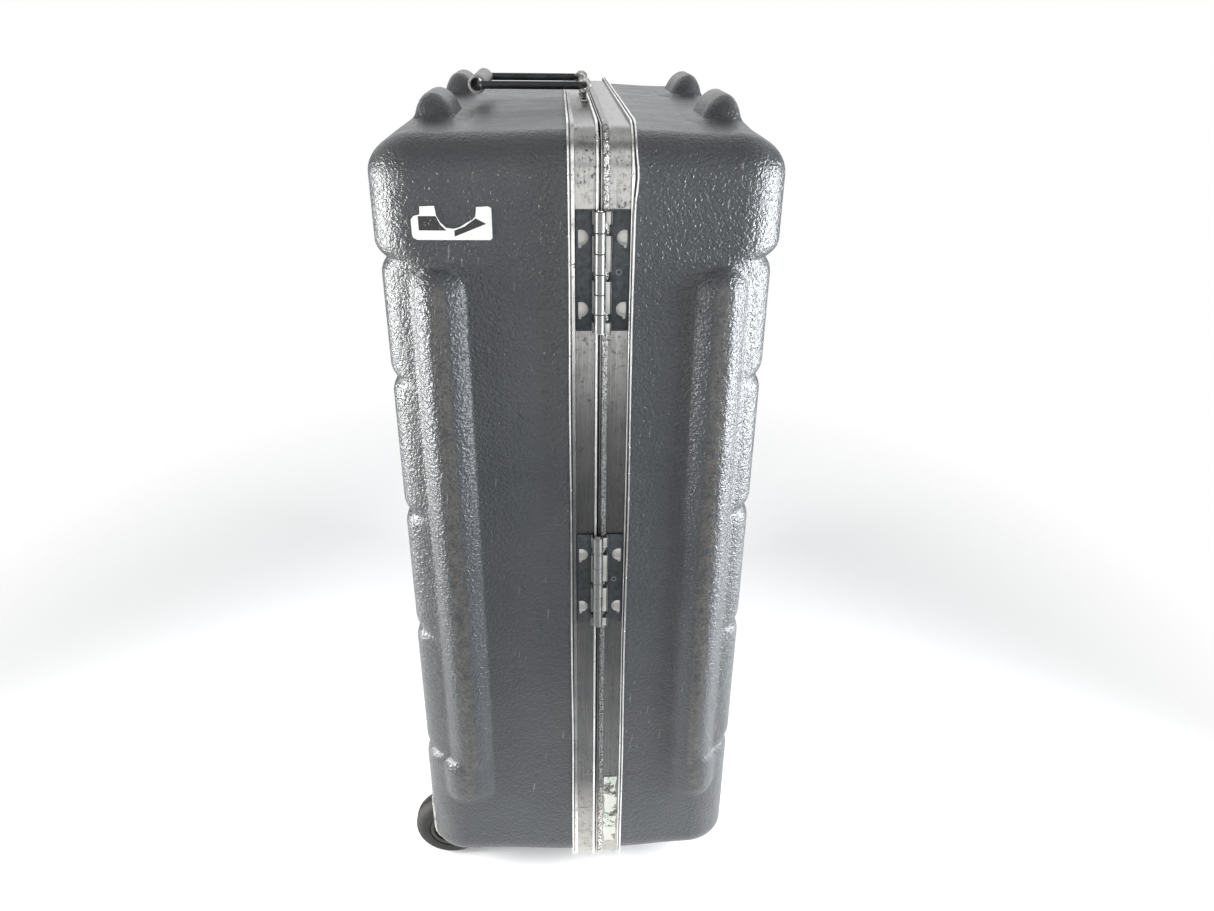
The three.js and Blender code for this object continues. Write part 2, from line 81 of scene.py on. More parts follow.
wall = 3.5                    # thickness of the shells' sheet
wall_y = frame_depth / 2 - lip_height
wall_z = frame_height / 2 - lip_height
shell_corner = frame_corner - lip_height
shell_edge = 42               # how far the rounded edges reach back from the big face
draft = 0.012                 # the side walls lean in by this share of the half size
rim_x = 3
grooves = [114, 231, 378, 527, 700]      # valleys between the pads, below the closure's top
groove_half = 16.5
base_pads = [10, 6.5, 6.5, 6.5, 7.5, 9]  # heights of the pads, from the top down
lid_pads = [12, 6.5, 6, 5.5, 6, 5]
base_face = (origin.x - base_shell_low.x) / MM - base_pads[0]
lid_face = (lid_shell_high.x - origin.x) / MM - lid_pads[0]

rib_length = 662
rib_width = 58
rib_height = 13
rib_middle = -5.5             # height of the ribs' middle
base_rib_x = -143
lid_rib_x = 112
dome_length = 112
dome_width = 38
dome_cap = 27                 # how long a dome's round ends are
dome_height = 23.8
dome_offset = 134.5           # from the middle of the depth to each dome's middle

web = 1.6                     # thickness of the closure's extrusions
channel_floor = gap + web     # above the shell's wall, as the hinge's heights are
leaf_low = channel_floor + gap
leaf_thick = 1.8
hinge_length = 108
hinge_heights = {"upper": 315, "middle": -8}
knuckle_radius = 4.2
knuckle_bore = 2.5
pin_radius = 2.2
knuckle_rise = 10.9
seam_z = -frame_height / 2 + 101
seam_width = 0.8


def smooth_step(t):
    t = np.clip(t, 0, 1)
    return t * t * (3 - 2 * t)


def local(point):
    """A point of the frame, in metres, as millimetres round the middle of the closure."""
    return (Vector(point) - origin) / MM


# -------- material nodes


class Nodes:
    """A material's node tree, with a short way to add a node and set its inputs."""

    def __init__(self, name):
        self.material = bpy.data.materials.new(name)
        self.material.use_nodes = True
        self.tree = self.material.node_tree
        self.shader = self.tree.nodes["Principled BSDF"]
        self.place = self.add("ShaderNodeTexCoord").outputs["Object"]

    def add(self, kind, inputs=(), **settings):
        node = self.tree.nodes.new(kind)
        for key, value in settings.items():
            setattr(node, key, value)
        for key, value in dict(inputs).items():
            self.feed(node.inputs[key], value)
        return node

    def feed(self, socket, value):
        if isinstance(value, bpy.types.NodeSocket):
            self.tree.links.new(value, socket)
        elif isinstance(value, tuple) and len(value) == 3 and socket.type == "RGBA":
            socket.default_value = (*value, 1)
        else:
            socket.default_value = value

    def set(self, **inputs):
        names = {socket.name.lower().replace(" ", "_"): socket for socket in self.shader.inputs}
        for key, value in inputs.items():
            self.feed(names[key], value)

    def stretched(self, scale):
        return self.add("ShaderNodeMapping", {"Vector": self.place, "Scale": scale}).outputs[0]

    def noise(self, size_mm, detail=3, rough=0.5, place=None, distortion=0.0):
        """Smooth noise whose blotches are about size_mm across, from 0 to 1."""
        node = self.add("ShaderNodeTexNoise", {
            "Vector": place or self.place, "Scale": 1 / (size_mm * MM), "Detail": detail,
            "Roughness": rough, "Distortion": distortion})
        return node.outputs[0]

    def cells(self, size_mm):
        node = self.add("ShaderNodeTexVoronoi", {"Vector": self.place, "Scale": 1 / (size_mm * MM)})
        return node.outputs["Distance"]

    def ramp(self, value, low, high, to_low=0.0, to_high=1.0):
        node = self.add("ShaderNodeMapRange", {
            "Value": value, "From Min": low, "From Max": high, "To Min": to_low, "To Max": to_high})
        node.clamp = True
        return node.outputs[0]

    def math(self, operation, a, b=0.0):
        node = self.add("ShaderNodeMath", operation=operation)
        self.feed(node.inputs[0], a)
        self.feed(node.inputs[1], b)
        return node.outputs[0]

    def times(self, a, b):
        return self.math("MULTIPLY", a, b)

    def mix(self, share, a, b):
        node = self.add("ShaderNodeMix", data_type="RGBA")
        self.feed(node.inputs["Factor"], share)
        self.feed(node.inputs[6], a)
        self.feed(node.inputs[7], b)
        return node.outputs[2]

    def over(self, color, tint, share, strength):
        """color with tint laid over it, by share times strength."""
        return self.mix(self.times(share, strength), color, tint)

    def attribute(self, name):
        return self.add("ShaderNodeAttribute", attribute_name=name).outputs["Fac"]

    def height(self):
        """Height above the floor, in metres, on the object as it stands."""
        return self.add("ShaderNodeSeparateXYZ", {"Vector": self.place}).outputs["Z"]

    def bump(self, *layers):
        """Bumps laid over each other: (height, depth in mm, strength)."""
        normal = None
        for height, depth, strength in layers:
            inputs = {"Height": height, "Distance": depth * MM, "Strength": strength}
            if normal:
                inputs["Normal"] = normal
            normal = self.add("ShaderNodeBump", inputs).outputs[0]
        self.feed(self.shader.inputs["Normal"], normal)

    def scratches(self, angle, length_mm, width_mm, amount):
        """Thin straight marks that lie at this angle on the side walls; a higher amount leaves fewer."""
        squeeze = width_mm / length_mm
        turned = self.add("ShaderNodeMapping", {
            "Vector": self.place, "Rotation": (math.radians(angle), math.radians(angle), 0)}).outputs[0]
        drawn = self.add("ShaderNodeMapping", {"Vector": turned, "Scale": (squeeze, squeeze, 1)}).outputs[0]
        lines = self.noise(width_mm * 4, 1, 0.4, drawn)
        patches = self.noise(90, 2)
        thin = self.ramp(lines, amount, amount + 0.015)
        return self.times(thin, self.ramp(patches, 0.5, 0.6))


def shell_plastic():
    m = Nodes("shell_plastic")
    grey, faded = (0.036, 0.040, 0.045), (0.052, 0.056, 0.060)
    rubbed, grime = (0.125, 0.116, 0.102), (0.026, 0.021, 0.016)
    white_mark, dark_mark, nick = (0.28, 0.28, 0.27), (0.015, 0.014, 0.013), (0.02, 0.02, 0.02)
    pebble = m.noise(3.1, 1.5, 0.45, distortion=0.6)
    fine = m.noise(1.5, 2, 0.6)
    wear = m.attribute("wear")
    dusty = m.ramp(m.noise(150, 4, 0.6), 0.35, 0.7)
    scuffed = m.times(wear, m.ramp(m.noise(11, 6, 0.7), 0.38, 0.58))
    speckle = m.times(wear, m.ramp(m.noise(3, 6, 0.8), 0.52, 0.58))
    marks = m.scratches(72, 6, 0.45, 0.735)
    dark_marks = m.scratches(-48, 5, 0.6, 0.73)
    nicks = m.ramp(m.noise(5, 3, 0.6), 0.74, 0.76)
    color = m.mix(dusty, grey, faded)
    color = m.over(color, rubbed, scuffed, 0.6)
    color = m.over(color, grime, speckle, 0.85)
    color = m.over(color, white_mark, marks, 0.6)
    color = m.over(color, dark_mark, dark_marks, 0.8)
    color = m.over(color, nick, nicks, 0.6)
    m.set(base_color=color, roughness=m.ramp(m.noise(40, 4, 0.6), 0.3, 0.7, 0.29, 0.40))
    m.set(specular_ior_level=0.6)
    worn_smooth = m.ramp(wear, 0.0, 1.0, 1.0, 0.45)
    m.bump((m.times(pebble, worn_smooth), 1.6, 1.0), (fine, 0.4, 1.0), (m.noise(26, 2), 1.5, 0.3),
           (marks, -0.2, 0.8))
    return m.material


def closure_aluminium():
    """Drawn aluminium: lighter towards the top bend, where cleaner metal carries a painted highlight, pale
    and stained at the low end, pitted on its flat band, with a painted shadow along the feet of its lips.
    """
    m = Nodes("closure_aluminium")
    dull, fresh, drawn_line = (0.20, 0.205, 0.21), (0.33, 0.33, 0.325), (0.12, 0.12, 0.12)
    bend_highlight, stained, edge = (0.86, 0.85, 0.82), (0.93, 0.90, 0.83), (0.86, 0.86, 0.84)
    pit_dirt_and_shadow = (0.03, 0.027, 0.024)
    drawn = m.noise(1.2, 3, 0.6, m.stretched((1, 1, 0.02)))
    smudge = m.noise(26, 5, 0.6)
    pits = m.ramp(m.noise(2.8, 4, 0.75), 0.585, 0.64)
    pit_zone = m.ramp(m.noise(30, 3, 0.6), 0.42, 0.6)
    pits = m.times(pits, pit_zone)
    band_pits = m.times(m.attribute("pitted"), m.ramp(m.noise(2.4, 5, 0.8), 0.47, 0.53))
    pits = m.math("MAXIMUM", pits, band_pits)
    low_end = m.times(m.ramp(m.height(), 0.16, 0.09), m.ramp(m.noise(9, 5, 0.7), 0.3, 0.5, 0.5, 1.0))
    color = m.mix(m.ramp(smudge, 0.3, 0.7), dull, fresh)
    color = m.mix(m.ramp(drawn, 0.35, 0.65, 0.0, 0.45), color, drawn_line)
    # Painted highlight: the metal is made lighter towards the top bend, partly as cleaner metal, and held
    # back on the top face, which the lamp above already lights strongly.
    rubbed = m.times(m.ramp(m.height(), 0.62, 0.78), m.ramp(m.noise(17, 5, 0.7), 0.3, 0.55, 0.45, 1.0))
    rubbed = m.times(rubbed, m.ramp(m.height(), 0.872, 0.886, 1.0, 0.35))
    color = m.over(color, bend_highlight, rubbed, 0.85)
    color = m.over(color, stained, low_end, 0.95)
    color = m.over(color, edge, m.attribute("lip"), m.ramp(smudge, 0.3, 0.6, 0.6, 1.0))
    color = m.over(color, pit_dirt_and_shadow, pits, 0.9)
    # Painted shadow: a dark line on the channel floor along the foot of each lip.
    color = m.over(color, pit_dirt_and_shadow, m.attribute("dirt"), m.ramp(smudge, 0.2, 0.7, 0.7, 1.0))
    rough = m.ramp(drawn, 0.3, 0.7, 0.22, 0.36)
    rough = m.math("ADD", rough, m.times(low_end, 0.25))
    m.set(base_color=color, roughness=rough)
    m.set(metallic=m.ramp(m.math("ADD", pits, low_end), 0.0, 1.0, 0.95, 0.35))
    m.bump((drawn, 0.06, 0.5), (pits, -0.35, 0.8), (smudge, 0.4, 0.3))
    return m.material


def zinc_plate():
    m = Nodes("zinc_plate")
    spangle = m.cells(6)
    blotch = m.noise(5, 5, 0.7)
    rub = m.ramp(m.noise(2.2, 5, 0.75), 0.6, 0.72)
    color = m.mix(m.ramp(spangle, 0.1, 0.7), (0.030, 0.038, 0.044), (0.062, 0.072, 0.078))
    color = m.mix(m.ramp(blotch, 0.4, 0.65), color, (0.055, 0.058, 0.06))
    color = m.over(color, (0.3, 0.3, 0.29), rub, 0.5)
    # Painted highlight: the zinc is made lighter by each point's painted highlight value, set on the tabs'
    # bends, knuckles and rivet heads.
    color = m.mix(m.attribute("bright"), color, (0.58, 0.57, 0.54))
    m.set(base_color=color, metallic=0.75, roughness=m.ramp(blotch, 0.3, 0.7, 0.32, 0.52))
    m.bump((m.noise(1.4, 4, 0.7), 0.12, 0.4), (rub, -0.1, 0.5))
    return m.material


def bright_steel():
    m = Nodes("bright_steel")
    brushed = m.noise(0.9, 3, 0.6, m.stretched((1, 1, 0.05)))
    grime = m.ramp(m.noise(7, 5, 0.7), 0.5, 0.68)
    color = m.mix(m.ramp(brushed, 0.3, 0.7), (0.40, 0.39, 0.37), (0.62, 0.61, 0.58))
    color = m.over(color, (0.09, 0.08, 0.07), grime, 0.75)
    m.set(base_color=color, metallic=0.9, roughness=m.ramp(grime, 0, 1, 0.26, 0.5))
    m.bump((brushed, 0.04, 0.35), (grime, -0.05, 0.4))
    return m.material


def dark_steel():
    m = Nodes("dark_steel")
    chips = m.ramp(m.noise(3.2, 5, 0.75), 0.62, 0.7)
    tone = m.noise(18, 4, 0.6)
    color = m.mix(m.ramp(tone, 0.3, 0.7), (0.022, 0.023, 0.025), (0.05, 0.051, 0.053))
    color = m.over(color, (0.22, 0.21, 0.2), chips, 0.6)
    m.set(base_color=color, metallic=0.6, roughness=m.ramp(tone, 0.3, 0.7, 0.34, 0.5))
    m.bump((m.noise(1.1, 4, 0.7), 0.08, 0.4), (chips, -0.12, 0.5))
    return m.material


def moulded(name, dark, light, rough, grain_mm, depth_mm):
    """A dull moulded plastic or rubber, with dust in its texture."""
    m = Nodes(name)
    tone = m.noise(20, 5, 0.65)
    dust = m.ramp(m.noise(5, 5, 0.75), 0.5, 0.75)
    color = m.mix(m.ramp(tone, 0.3, 0.7), dark, light)
    dusty = tuple(min(1, 2.2 * c + 0.03) for c in light)
    color = m.over(color, dusty, dust, 0.4)
    m.set(base_color=color, roughness=m.ramp(dust, 0, 1, rough, rough + 0.15))
    m.bump((m.noise(grain_mm, 4, 0.65), depth_mm, 0.6), (tone, 0.5, 0.2))
    return m.material


def lining_foam():
    m = Nodes("lining_foam")
    pores = m.cells(1.5)
    tone = m.noise(45, 4, 0.6)
    color = m.mix(m.ramp(tone, 0.3, 0.7), (0.028, 0.030, 0.034), (0.05, 0.053, 0.058))
    color = m.mix(m.ramp(pores, 0.25, 0.55), (0.008, 0.008, 0.01), color)
    m.set(base_color=color, roughness=0.95, sheen_weight=0.15)
    m.bump((pores, 0.6, 0.8), (m.noise(12, 3), 0.8, 0.3))
    return m.material


def label_paper():
    m = Nodes("label_paper")
    stain = m.noise(6, 5, 0.7)
    flecks = m.ramp(m.noise(2.4, 5, 0.8), 0.62, 0.68)
    color = m.mix(m.ramp(stain, 0.35, 0.7), (0.90, 0.90, 0.88), (0.80, 0.79, 0.74))
    color = m.over(color, (0.06, 0.055, 0.05), flecks, 0.85)
    m.set(base_color=color, roughness=m.ramp(stain, 0.3, 0.7, 0.5, 0.75))
    m.bump((m.noise(1.8, 4, 0.7), 0.12, 0.4), (flecks, -0.1, 0.5))
    return m.material


def label_ink():
    m = Nodes("label_ink")
    rubbed = m.ramp(m.noise(2.6, 6, 0.8), 0.6, 0.66)
    color = m.mix(rubbed, (0.012, 0.012, 0.014), (0.55, 0.54, 0.5))
    m.set(base_color=color, roughness=m.ramp(rubbed, 0, 1, 0.35, 0.7))
    m.bump((rubbed, -0.08, 0.5))
    return m.material


def torn_paper():
    """What is left of a stuck-on paper: pale patches over dark glue."""
    m = Nodes("torn_paper")
    edge = m.noise(16, 6, 0.7)
    paper = m.ramp(edge, 0.44, 0.47)
    tint = m.mix(m.ramp(m.noise(24, 3), 0.4, 0.6), (0.72, 0.78, 0.70), (0.80, 0.78, 0.72))
    glue = m.mix(m.ramp(m.noise(5, 5, 0.7), 0.4, 0.6), (0.035, 0.04, 0.036), (0.30, 0.29, 0.24))
    m.set(base_color=m.mix(paper, glue, tint), roughness=m.ramp(paper, 0, 1, 0.45, 0.75))
    m.bump((paper, 0.25, 0.8), (m.noise(2, 4, 0.7), 0.1, 0.4))
    return m.material


materials = {
    "shell_plastic": shell_plastic(),
    "closure_aluminium": closure_aluminium(),
    "zinc_plate": zinc_plate(),
    "bright_steel": bright_steel(),
    "dark_steel": dark_steel(),
    "grip_tube": moulded("grip_tube", (0.16, 0.155, 0.145), (0.30, 0.29, 0.27), 0.5, 1.4, 0.15),
    "grip_rubber": moulded("grip_rubber", (0.012, 0.012, 0.013), (0.025, 0.025, 0.026), 0.6, 1.2, 0.25),
    "hub_plastic": moulded("hub_plastic", (0.022, 0.020, 0.018), (0.04, 0.036, 0.032), 0.5, 1.2, 0.15),
    "tyre_rubber": moulded("tyre_rubber", (0.010, 0.0095, 0.009), (0.022, 0.02, 0.018), 0.7, 1.5, 0.35),
    "gasket_rubber": moulded("gasket_rubber", (0.010, 0.010, 0.010), (0.02, 0.02, 0.02), 0.7, 1.0, 0.2),
    "lining_foam": lining_foam(),
    "label_paper": label_paper(),
}
ink = label_ink()
torn = torn_paper()

# -------- making pieces


def shade(mesh, angle):
    mesh.shade_smooth()
    mesh.set_sharp_from_angle(angle=math.radians(angle))


def add_piece(name, mesh, body, slot, replaces, extra_materials=()):
    """Moves a mesh made in millimetres into the frame, and makes it a piece that rides on a CAD body."""
    mesh.transform(Matrix.Translation(origin) @ Matrix.Diagonal((MM, MM, MM, 1)))
    piece = bpy.data.objects.new(name, mesh)
    bpy.context.scene.collection.objects.link(piece)
    for material in (materials[slot], *extra_materials):
        mesh.materials.append(material)
    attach(piece, body)
    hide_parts(*replaces)
    return piece


def mesh_from(name, points, faces):
    mesh = bpy.data.meshes.new(name)
    mesh.from_pydata([tuple(p) for p in points], [], [tuple(f) for f in faces])
    mesh.validate()
    return mesh


def float_layer(mesh, name, values):
    layer = mesh.attributes.new(name, "FLOAT", "POINT")
    layer.data.foreach_set("value", np.asarray(values, np.float32))


class Parts:
    """Small closed shapes gathered into one mesh."""

    def __init__(self):
        self.bm = bmesh.new()
        # Each point carries a painted highlight value, which zinc_plate reads to make the zinc lighter.
        self.layer = self.bm.verts.layers.float.new("bright")

    def grow(self, make, bright=0.0, material=0):
        """Runs make on an empty mesh, then adds what it made."""
        fresh = bmesh.new()
        layer = fresh.verts.layers.float.new("bright")
        make(fresh)
        bmesh.ops.recalc_face_normals(fresh, faces=fresh.faces)
        for vert in fresh.verts:
            vert[layer] = bright
        for face in fresh.faces:
            face.material_index = material
        mesh = bpy.data.meshes.new("part")
        fresh.to_mesh(mesh)
        fresh.free()
        self.bm.from_mesh(mesh)
        bpy.data.meshes.remove(mesh)

    def box(self, x, y, z, bevel, bright=0.0):
        def make(bm):
            bmesh.ops.create_cube(bm, size=1)
            size = [abs(b - a) for a, b in (x, y, z)]
            middle = [(a + b) / 2 for a, b in (x, y, z)]
            matrix = Matrix.Translation(middle) @ Matrix.Diagonal((*size, 1))
            bmesh.ops.transform(bm, matrix=matrix, verts=bm.verts)
            offset = min(bevel, min(size) * 0.4)
            bmesh.ops.bevel(bm, geom=bm.edges[:], offset=offset, segments=2, profile=0.5, affect="EDGES")
        self.grow(make, bright)

    def lathe(self, profile, middle, axis, sides, bright=0.0, clip=None):
        """A profile of (radius, height) turned round an axis through middle."""
        turn = {"z": Matrix.Identity(4), "y": Matrix.Rotation(-math.pi / 2, 4, "X"),
                "-y": Matrix.Rotation(math.pi / 2, 4, "X")}[axis]

        def make(bm):
            rings = []
            for radius, height in profile:
                count = sides if radius else 1
                angles = [2 * math.pi * i / sides for i in range(count)]
                ring = [(radius * math.cos(a), radius * math.sin(a), height) for a in angles]
                rings.append([bm.verts.new(point) for point in ring])
            for low, high in zip(rings, rings[1:]):
                join_rings(bm, low, high, sides)
            bmesh.ops.remove_doubles(bm, verts=bm.verts, dist=1e-5)
            bmesh.ops.transform(bm, matrix=Matrix.Translation(middle) @ turn, verts=bm.verts)
            if clip:
                everything = bm.verts[:] + bm.edges[:] + bm.faces[:]
                cut = bmesh.ops.bisect_plane(bm, geom=everything, plane_co=clip[0], plane_no=clip[1],
                                             clear_outer=True)
                rim = [e for e in cut["geom_cut"] if isinstance(e, bmesh.types.BMEdge)]
                bmesh.ops.holes_fill(bm, edges=rim, sides=0)
        self.grow(make, bright)

    def tube(self, path, radius, sides):
        """A round bar along path, with its ends closed."""
        def make(bm):
            rings = []
            points = [Vector(p) for p in path]
            side = None
            for i, point in enumerate(points):
                ahead = points[min(i + 1, len(points) - 1)] - points[max(i - 1, 0)]
                ahead.normalize()
                side = (side - ahead * side.dot(ahead)) if side else ahead.orthogonal()
                side.normalize()
                up = ahead.cross(side)
                rings.append([bm.verts.new(point + radius * (math.cos(a) * side + math.sin(a) * up))
                              for a in (2 * math.pi * k / sides for k in range(sides))])
            for low, high in zip(rings, rings[1:]):
                join_rings(bm, low, high, sides)
            bm.faces.new(rings[0])
            bm.faces.new(rings[-1])
        self.grow(make)

    def prism(self, outline, thickness, place, bevel, material=0):
        """A flat outline of (a, b), thickened along c; place maps (a, b, c) to (x, y, z)."""
        def make(bm):
            corners = [bm.verts.new((a, b, 0)) for a, b in outline]
            face = bm.faces.new(corners)
            raised = bmesh.ops.extrude_face_region(bm, geom=[face])["geom"]
            top = [v for v in raised if isinstance(v, bmesh.types.BMVert)]
            bmesh.ops.translate(bm, vec=(0, 0, thickness), verts=top)
            if bevel:
                sharp = [e for e in bm.edges if e.calc_face_angle(0) > math.radians(30)]
                bmesh.ops.bevel(bm, geom=sharp, offset=bevel, segments=1, profile=0.5, affect="EDGES")
            for vert in bm.verts:
                vert.co = place(*vert.co)
        self.grow(make, material=material)

    def piece(self, name, body, slot, replaces, extra_materials=(), angle=35):
        mesh = bpy.data.meshes.new(name)
        self.bm.to_mesh(mesh)
        self.bm.free()
        shade(mesh, angle)
        return add_piece(name, mesh, body, slot, replaces, extra_materials)


def join_rings(bm, low, high, sides):
    """Faces between two rings; a ring may be a single point."""
    for i in range(sides):
        j = (i + 1) % sides
        corners = []
        for ring, index in ((low, i), (low, j), (high, j), (high, i)):
            vert = ring[index % len(ring)]
            if vert not in corners:
                corners.append(vert)
        if len(corners) > 2:
            bm.faces.new(corners)


def mirrored(profile):
    """A lathe profile up to its middle, then the same backwards, and closed where it began."""
    return [*profile, *((radius, -height) for radius, height in reversed(profile)), profile[0]]


def rounded_path(points, radius):
    """The same path with its corners turned into arcs."""
    steps = 8
    path = [points[0]]
    for before, corner, after in zip(points, points[1:], points[2:]):
        a = (before - corner).normalized()
        b = (after - corner).normalized()
        half = a.angle(b) / 2
        reach = radius / math.tan(half)
        centre = corner + (a + b).normalized() * (radius / math.sin(half))
        start = corner + a * reach - centre
        end = corner + b * reach - centre
        for i in range(steps + 1):
            path.append(centre + start.slerp(end, i / steps))
    return path + [points[-1]]


def refined(name, node, body, slot, bevel, angle=35, segments=2):
    """A copy of a CAD node with rounded edges, which stands for it."""
    bm = bmesh.new()
    bm.from_mesh(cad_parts[node].data)
    bmesh.ops.remove_doubles(bm, verts=bm.verts, dist=0.00002)
    bmesh.ops.dissolve_limit(bm, angle_limit=math.radians(1), verts=bm.verts, edges=bm.edges)
    sharp = [e for e in bm.edges if len(e.link_faces) == 2 and e.calc_face_angle(0) > math.radians(angle)]
    bmesh.ops.bevel(bm, geom=sharp, offset=bevel * MM, segments=segments, profile=0.5, affect="EDGES",
                    clamp_overlap=True)
    mesh = bpy.data.meshes.new(name)
    bm.to_mesh(mesh)
    bm.free()
    mesh.materials.clear()
    shade(mesh, angle)
    mesh.transform((Matrix.Translation(origin) @ Matrix.Diagonal((MM, MM, MM, 1))).inverted())
    return add_piece(name, mesh, body, slot, [node])


# -------- shells


def stations(low, high, coarse, zones):
    """Grid lines from low to high: coarse steps, and fine ones in the zones (from, to, step)."""
    stops = {low, high}
    for start, end, _ in zones:
        stops |= {min(max(start, low), high), min(max(end, low), high)}
    stops = sorted(stops)
    lines = [low]
    for a, b in zip(stops, stops[1:]):
        inside = [step for start, end, step in zones if start <= (a + b) / 2 <= end]
        count = max(1, math.ceil((b - a) / min(inside, default=coarse)))
        lines += [a + (b - a) * (i + 1) / count for i in range(count)]
    return lines


corner_steps = 13             # grid lines from a flat side to the middle of a rounded edge


def with_corners(flat, ends):
    """(core, slope) of each grid line: the flat ones, then those that turn round the rounded edge."""
    turns = [math.tan(math.radians(45) * (i + 1) / corner_steps) for i in range(corner_steps)]
    lines = [(c, 0.0) for c in flat]
    lines += [(flat[-1], t) for t in turns]
    if ends == 2:
        lines = [(flat[0], -t) for t in reversed(turns)] + lines
    return np.array(lines)


def grid_lines(face, rib_x):
    """Grid lines along x, y and z: fine where the ribs, domes, grooves and rounded edges are."""
    rib_step, dome_step, groove_step, tip_step, edge_step = 1.5, 1.6, 2.4, 2.6, 2.5
    rib_low = abs(rib_x) - rib_width / 2
    x_zones = [(rib_low, rib_low + rib_width, rib_step)]
    dome_half = dome_length / 2 + 3
    y_zones = [(s * dome_offset - dome_half, s * dome_offset + dome_half, dome_step) for s in (-1, 1)]
    flat_y = wall_y - shell_corner
    edge_zone = 26
    y_zones += [(-flat_y, -flat_y + edge_zone, edge_step), (flat_y - edge_zone, flat_y, edge_step)]
    groove_zone = 20
    z_zones = [(frame_height / 2 - g - groove_zone, frame_height / 2 - g + groove_zone, groove_step)
               for g in grooves]
    for end in (-1, 1):
        tip = rib_middle + end * rib_length / 2
        z_zones.append((*sorted((tip - end * 32, tip + end * 4)), tip_step))
    flat_z = wall_z - shell_corner
    return (with_corners(stations(rim_x, face - shell_edge, 14, x_zones), 1),
            with_corners(stations(-flat_y, flat_y, 16, y_zones), 2),
            with_corners(stations(-flat_z, flat_z, 16, z_zones), 2))


def tub_grid(face, side, rib_x):
    """A fine grid over half of a rounded box: points, outward directions and faces."""
    reach = np.array([shell_edge, shell_corner, shell_corner])
    halves = [face - shell_edge, wall_y - shell_corner, wall_z - shell_corner]
    x_lines, y_lines, z_lines = grid_lines(face, rib_x)
    points, outward, faces = [], [], []

    def patch(rows, columns, row_axis, column_axis, normal_axis, sign):
        """One flat side of the box, with the halves of its rounded edges."""
        core = np.zeros((len(rows), len(columns), 3))
        out = np.zeros_like(core)
        core[:, :, row_axis] = rows[:, None, 0]
        out[:, :, row_axis] = rows[:, None, 1]
        core[:, :, column_axis] = columns[None, :, 0]
        out[:, :, column_axis] = columns[None, :, 1]
        core[:, :, normal_axis] = sign * halves[normal_axis]
        out[:, :, normal_axis] = sign
        out /= np.linalg.norm(out, axis=2, keepdims=True)
        first = sum(len(p) for p in points)
        index = first + np.arange(len(rows) * len(columns)).reshape(len(rows), len(columns))
        quads = np.stack([index[:-1, :-1], index[1:, :-1], index[1:, 1:], index[:-1, 1:]], axis=2)
        quads = quads.reshape(-1, 4)
        turn = np.cross(np.eye(3)[row_axis], np.eye(3)[column_axis])[normal_axis] * sign
        if turn * side < 0:
            quads = quads[:, ::-1]
        points.append((core + out * reach).reshape(-1, 3))
        outward.append(out.reshape(-1, 3))
        faces.append(quads)

    patch(y_lines, z_lines, 1, 2, 0, 1)
    for sign in (-1, 1):
        patch(x_lines, z_lines, 0, 2, 1, sign)
        patch(x_lines, y_lines, 0, 1, 2, sign)
    points = np.concatenate(points)
    outward = np.concatenate(outward)
    faces = np.concatenate(faces)
    _, first, inverse = np.unique(np.round(points, 3), axis=0, return_index=True, return_inverse=True)
    points = points[first]
    outward = outward[first]
    points[:, 0] *= side
    outward[:, 0] *= side
    return points, outward, inverse.reshape(-1)[faces]


def capsule_share(a, b, middle_b, length, width, cap):
    """Distance from a capsule's middle line, as a share of its half width; its round ends are cap long."""
    along = np.maximum(np.abs(b - middle_b) - (length / 2 - cap), 0)
    return np.hypot(a / (width / 2), along / cap)


def rib_profile(share):
    """A round bar laid on the wall, with a soft foot."""
    bar_width, bar_height = 0.84, 0.78
    bar = np.clip(1 - (share / bar_width) ** 2, 0, 1) ** 0.8
    foot = smooth_step(1 - share)
    return bar_height * bar + (1 - bar_height) * foot


def dome_profile(share):
    """A bullet-shaped boss: round over the top, steep at the sides, with a flared foot."""
    bullet_width, bullet_height, flare_from, flare_to = 0.82, 0.82, 0.5, 1.45
    bullet = np.clip(1 - (share / bullet_width) ** 2, 0, 1) ** 0.8
    flare = smooth_step((flare_to - share) / (flare_to - flare_from))
    return bullet_height * bullet + (1 - bullet_height) * flare


def pad_profile(distance):
    """Height of a raised pad at this distance from the valley beside it: a rounded end."""
    return 1 - (1 - np.clip(distance / groove_half, 0, 1)) ** 2.3


def pads(depth, z, outward, face, heights):
    """How far the big face stands out in its pads; the end pads take the rounded edges with them."""
    edges = [frame_height / 2 - g for g in grooves]
    crown = heights[0] * pad_profile(z - edges[0])
    foot = heights[-1] * pad_profile(edges[-1] - z)
    blend = 30
    rise = (crown + foot) * np.clip((depth - (face - shell_edge - blend)) / blend, 0, 1)
    wrap = smooth_step((np.abs(outward[:, 0]) - 0.45) / 0.5)
    for i, height in enumerate(heights[1:-1]):
        rise += height * (pad_profile(edges[i] - z) * pad_profile(z - edges[i + 1])) * wrap
    return rise


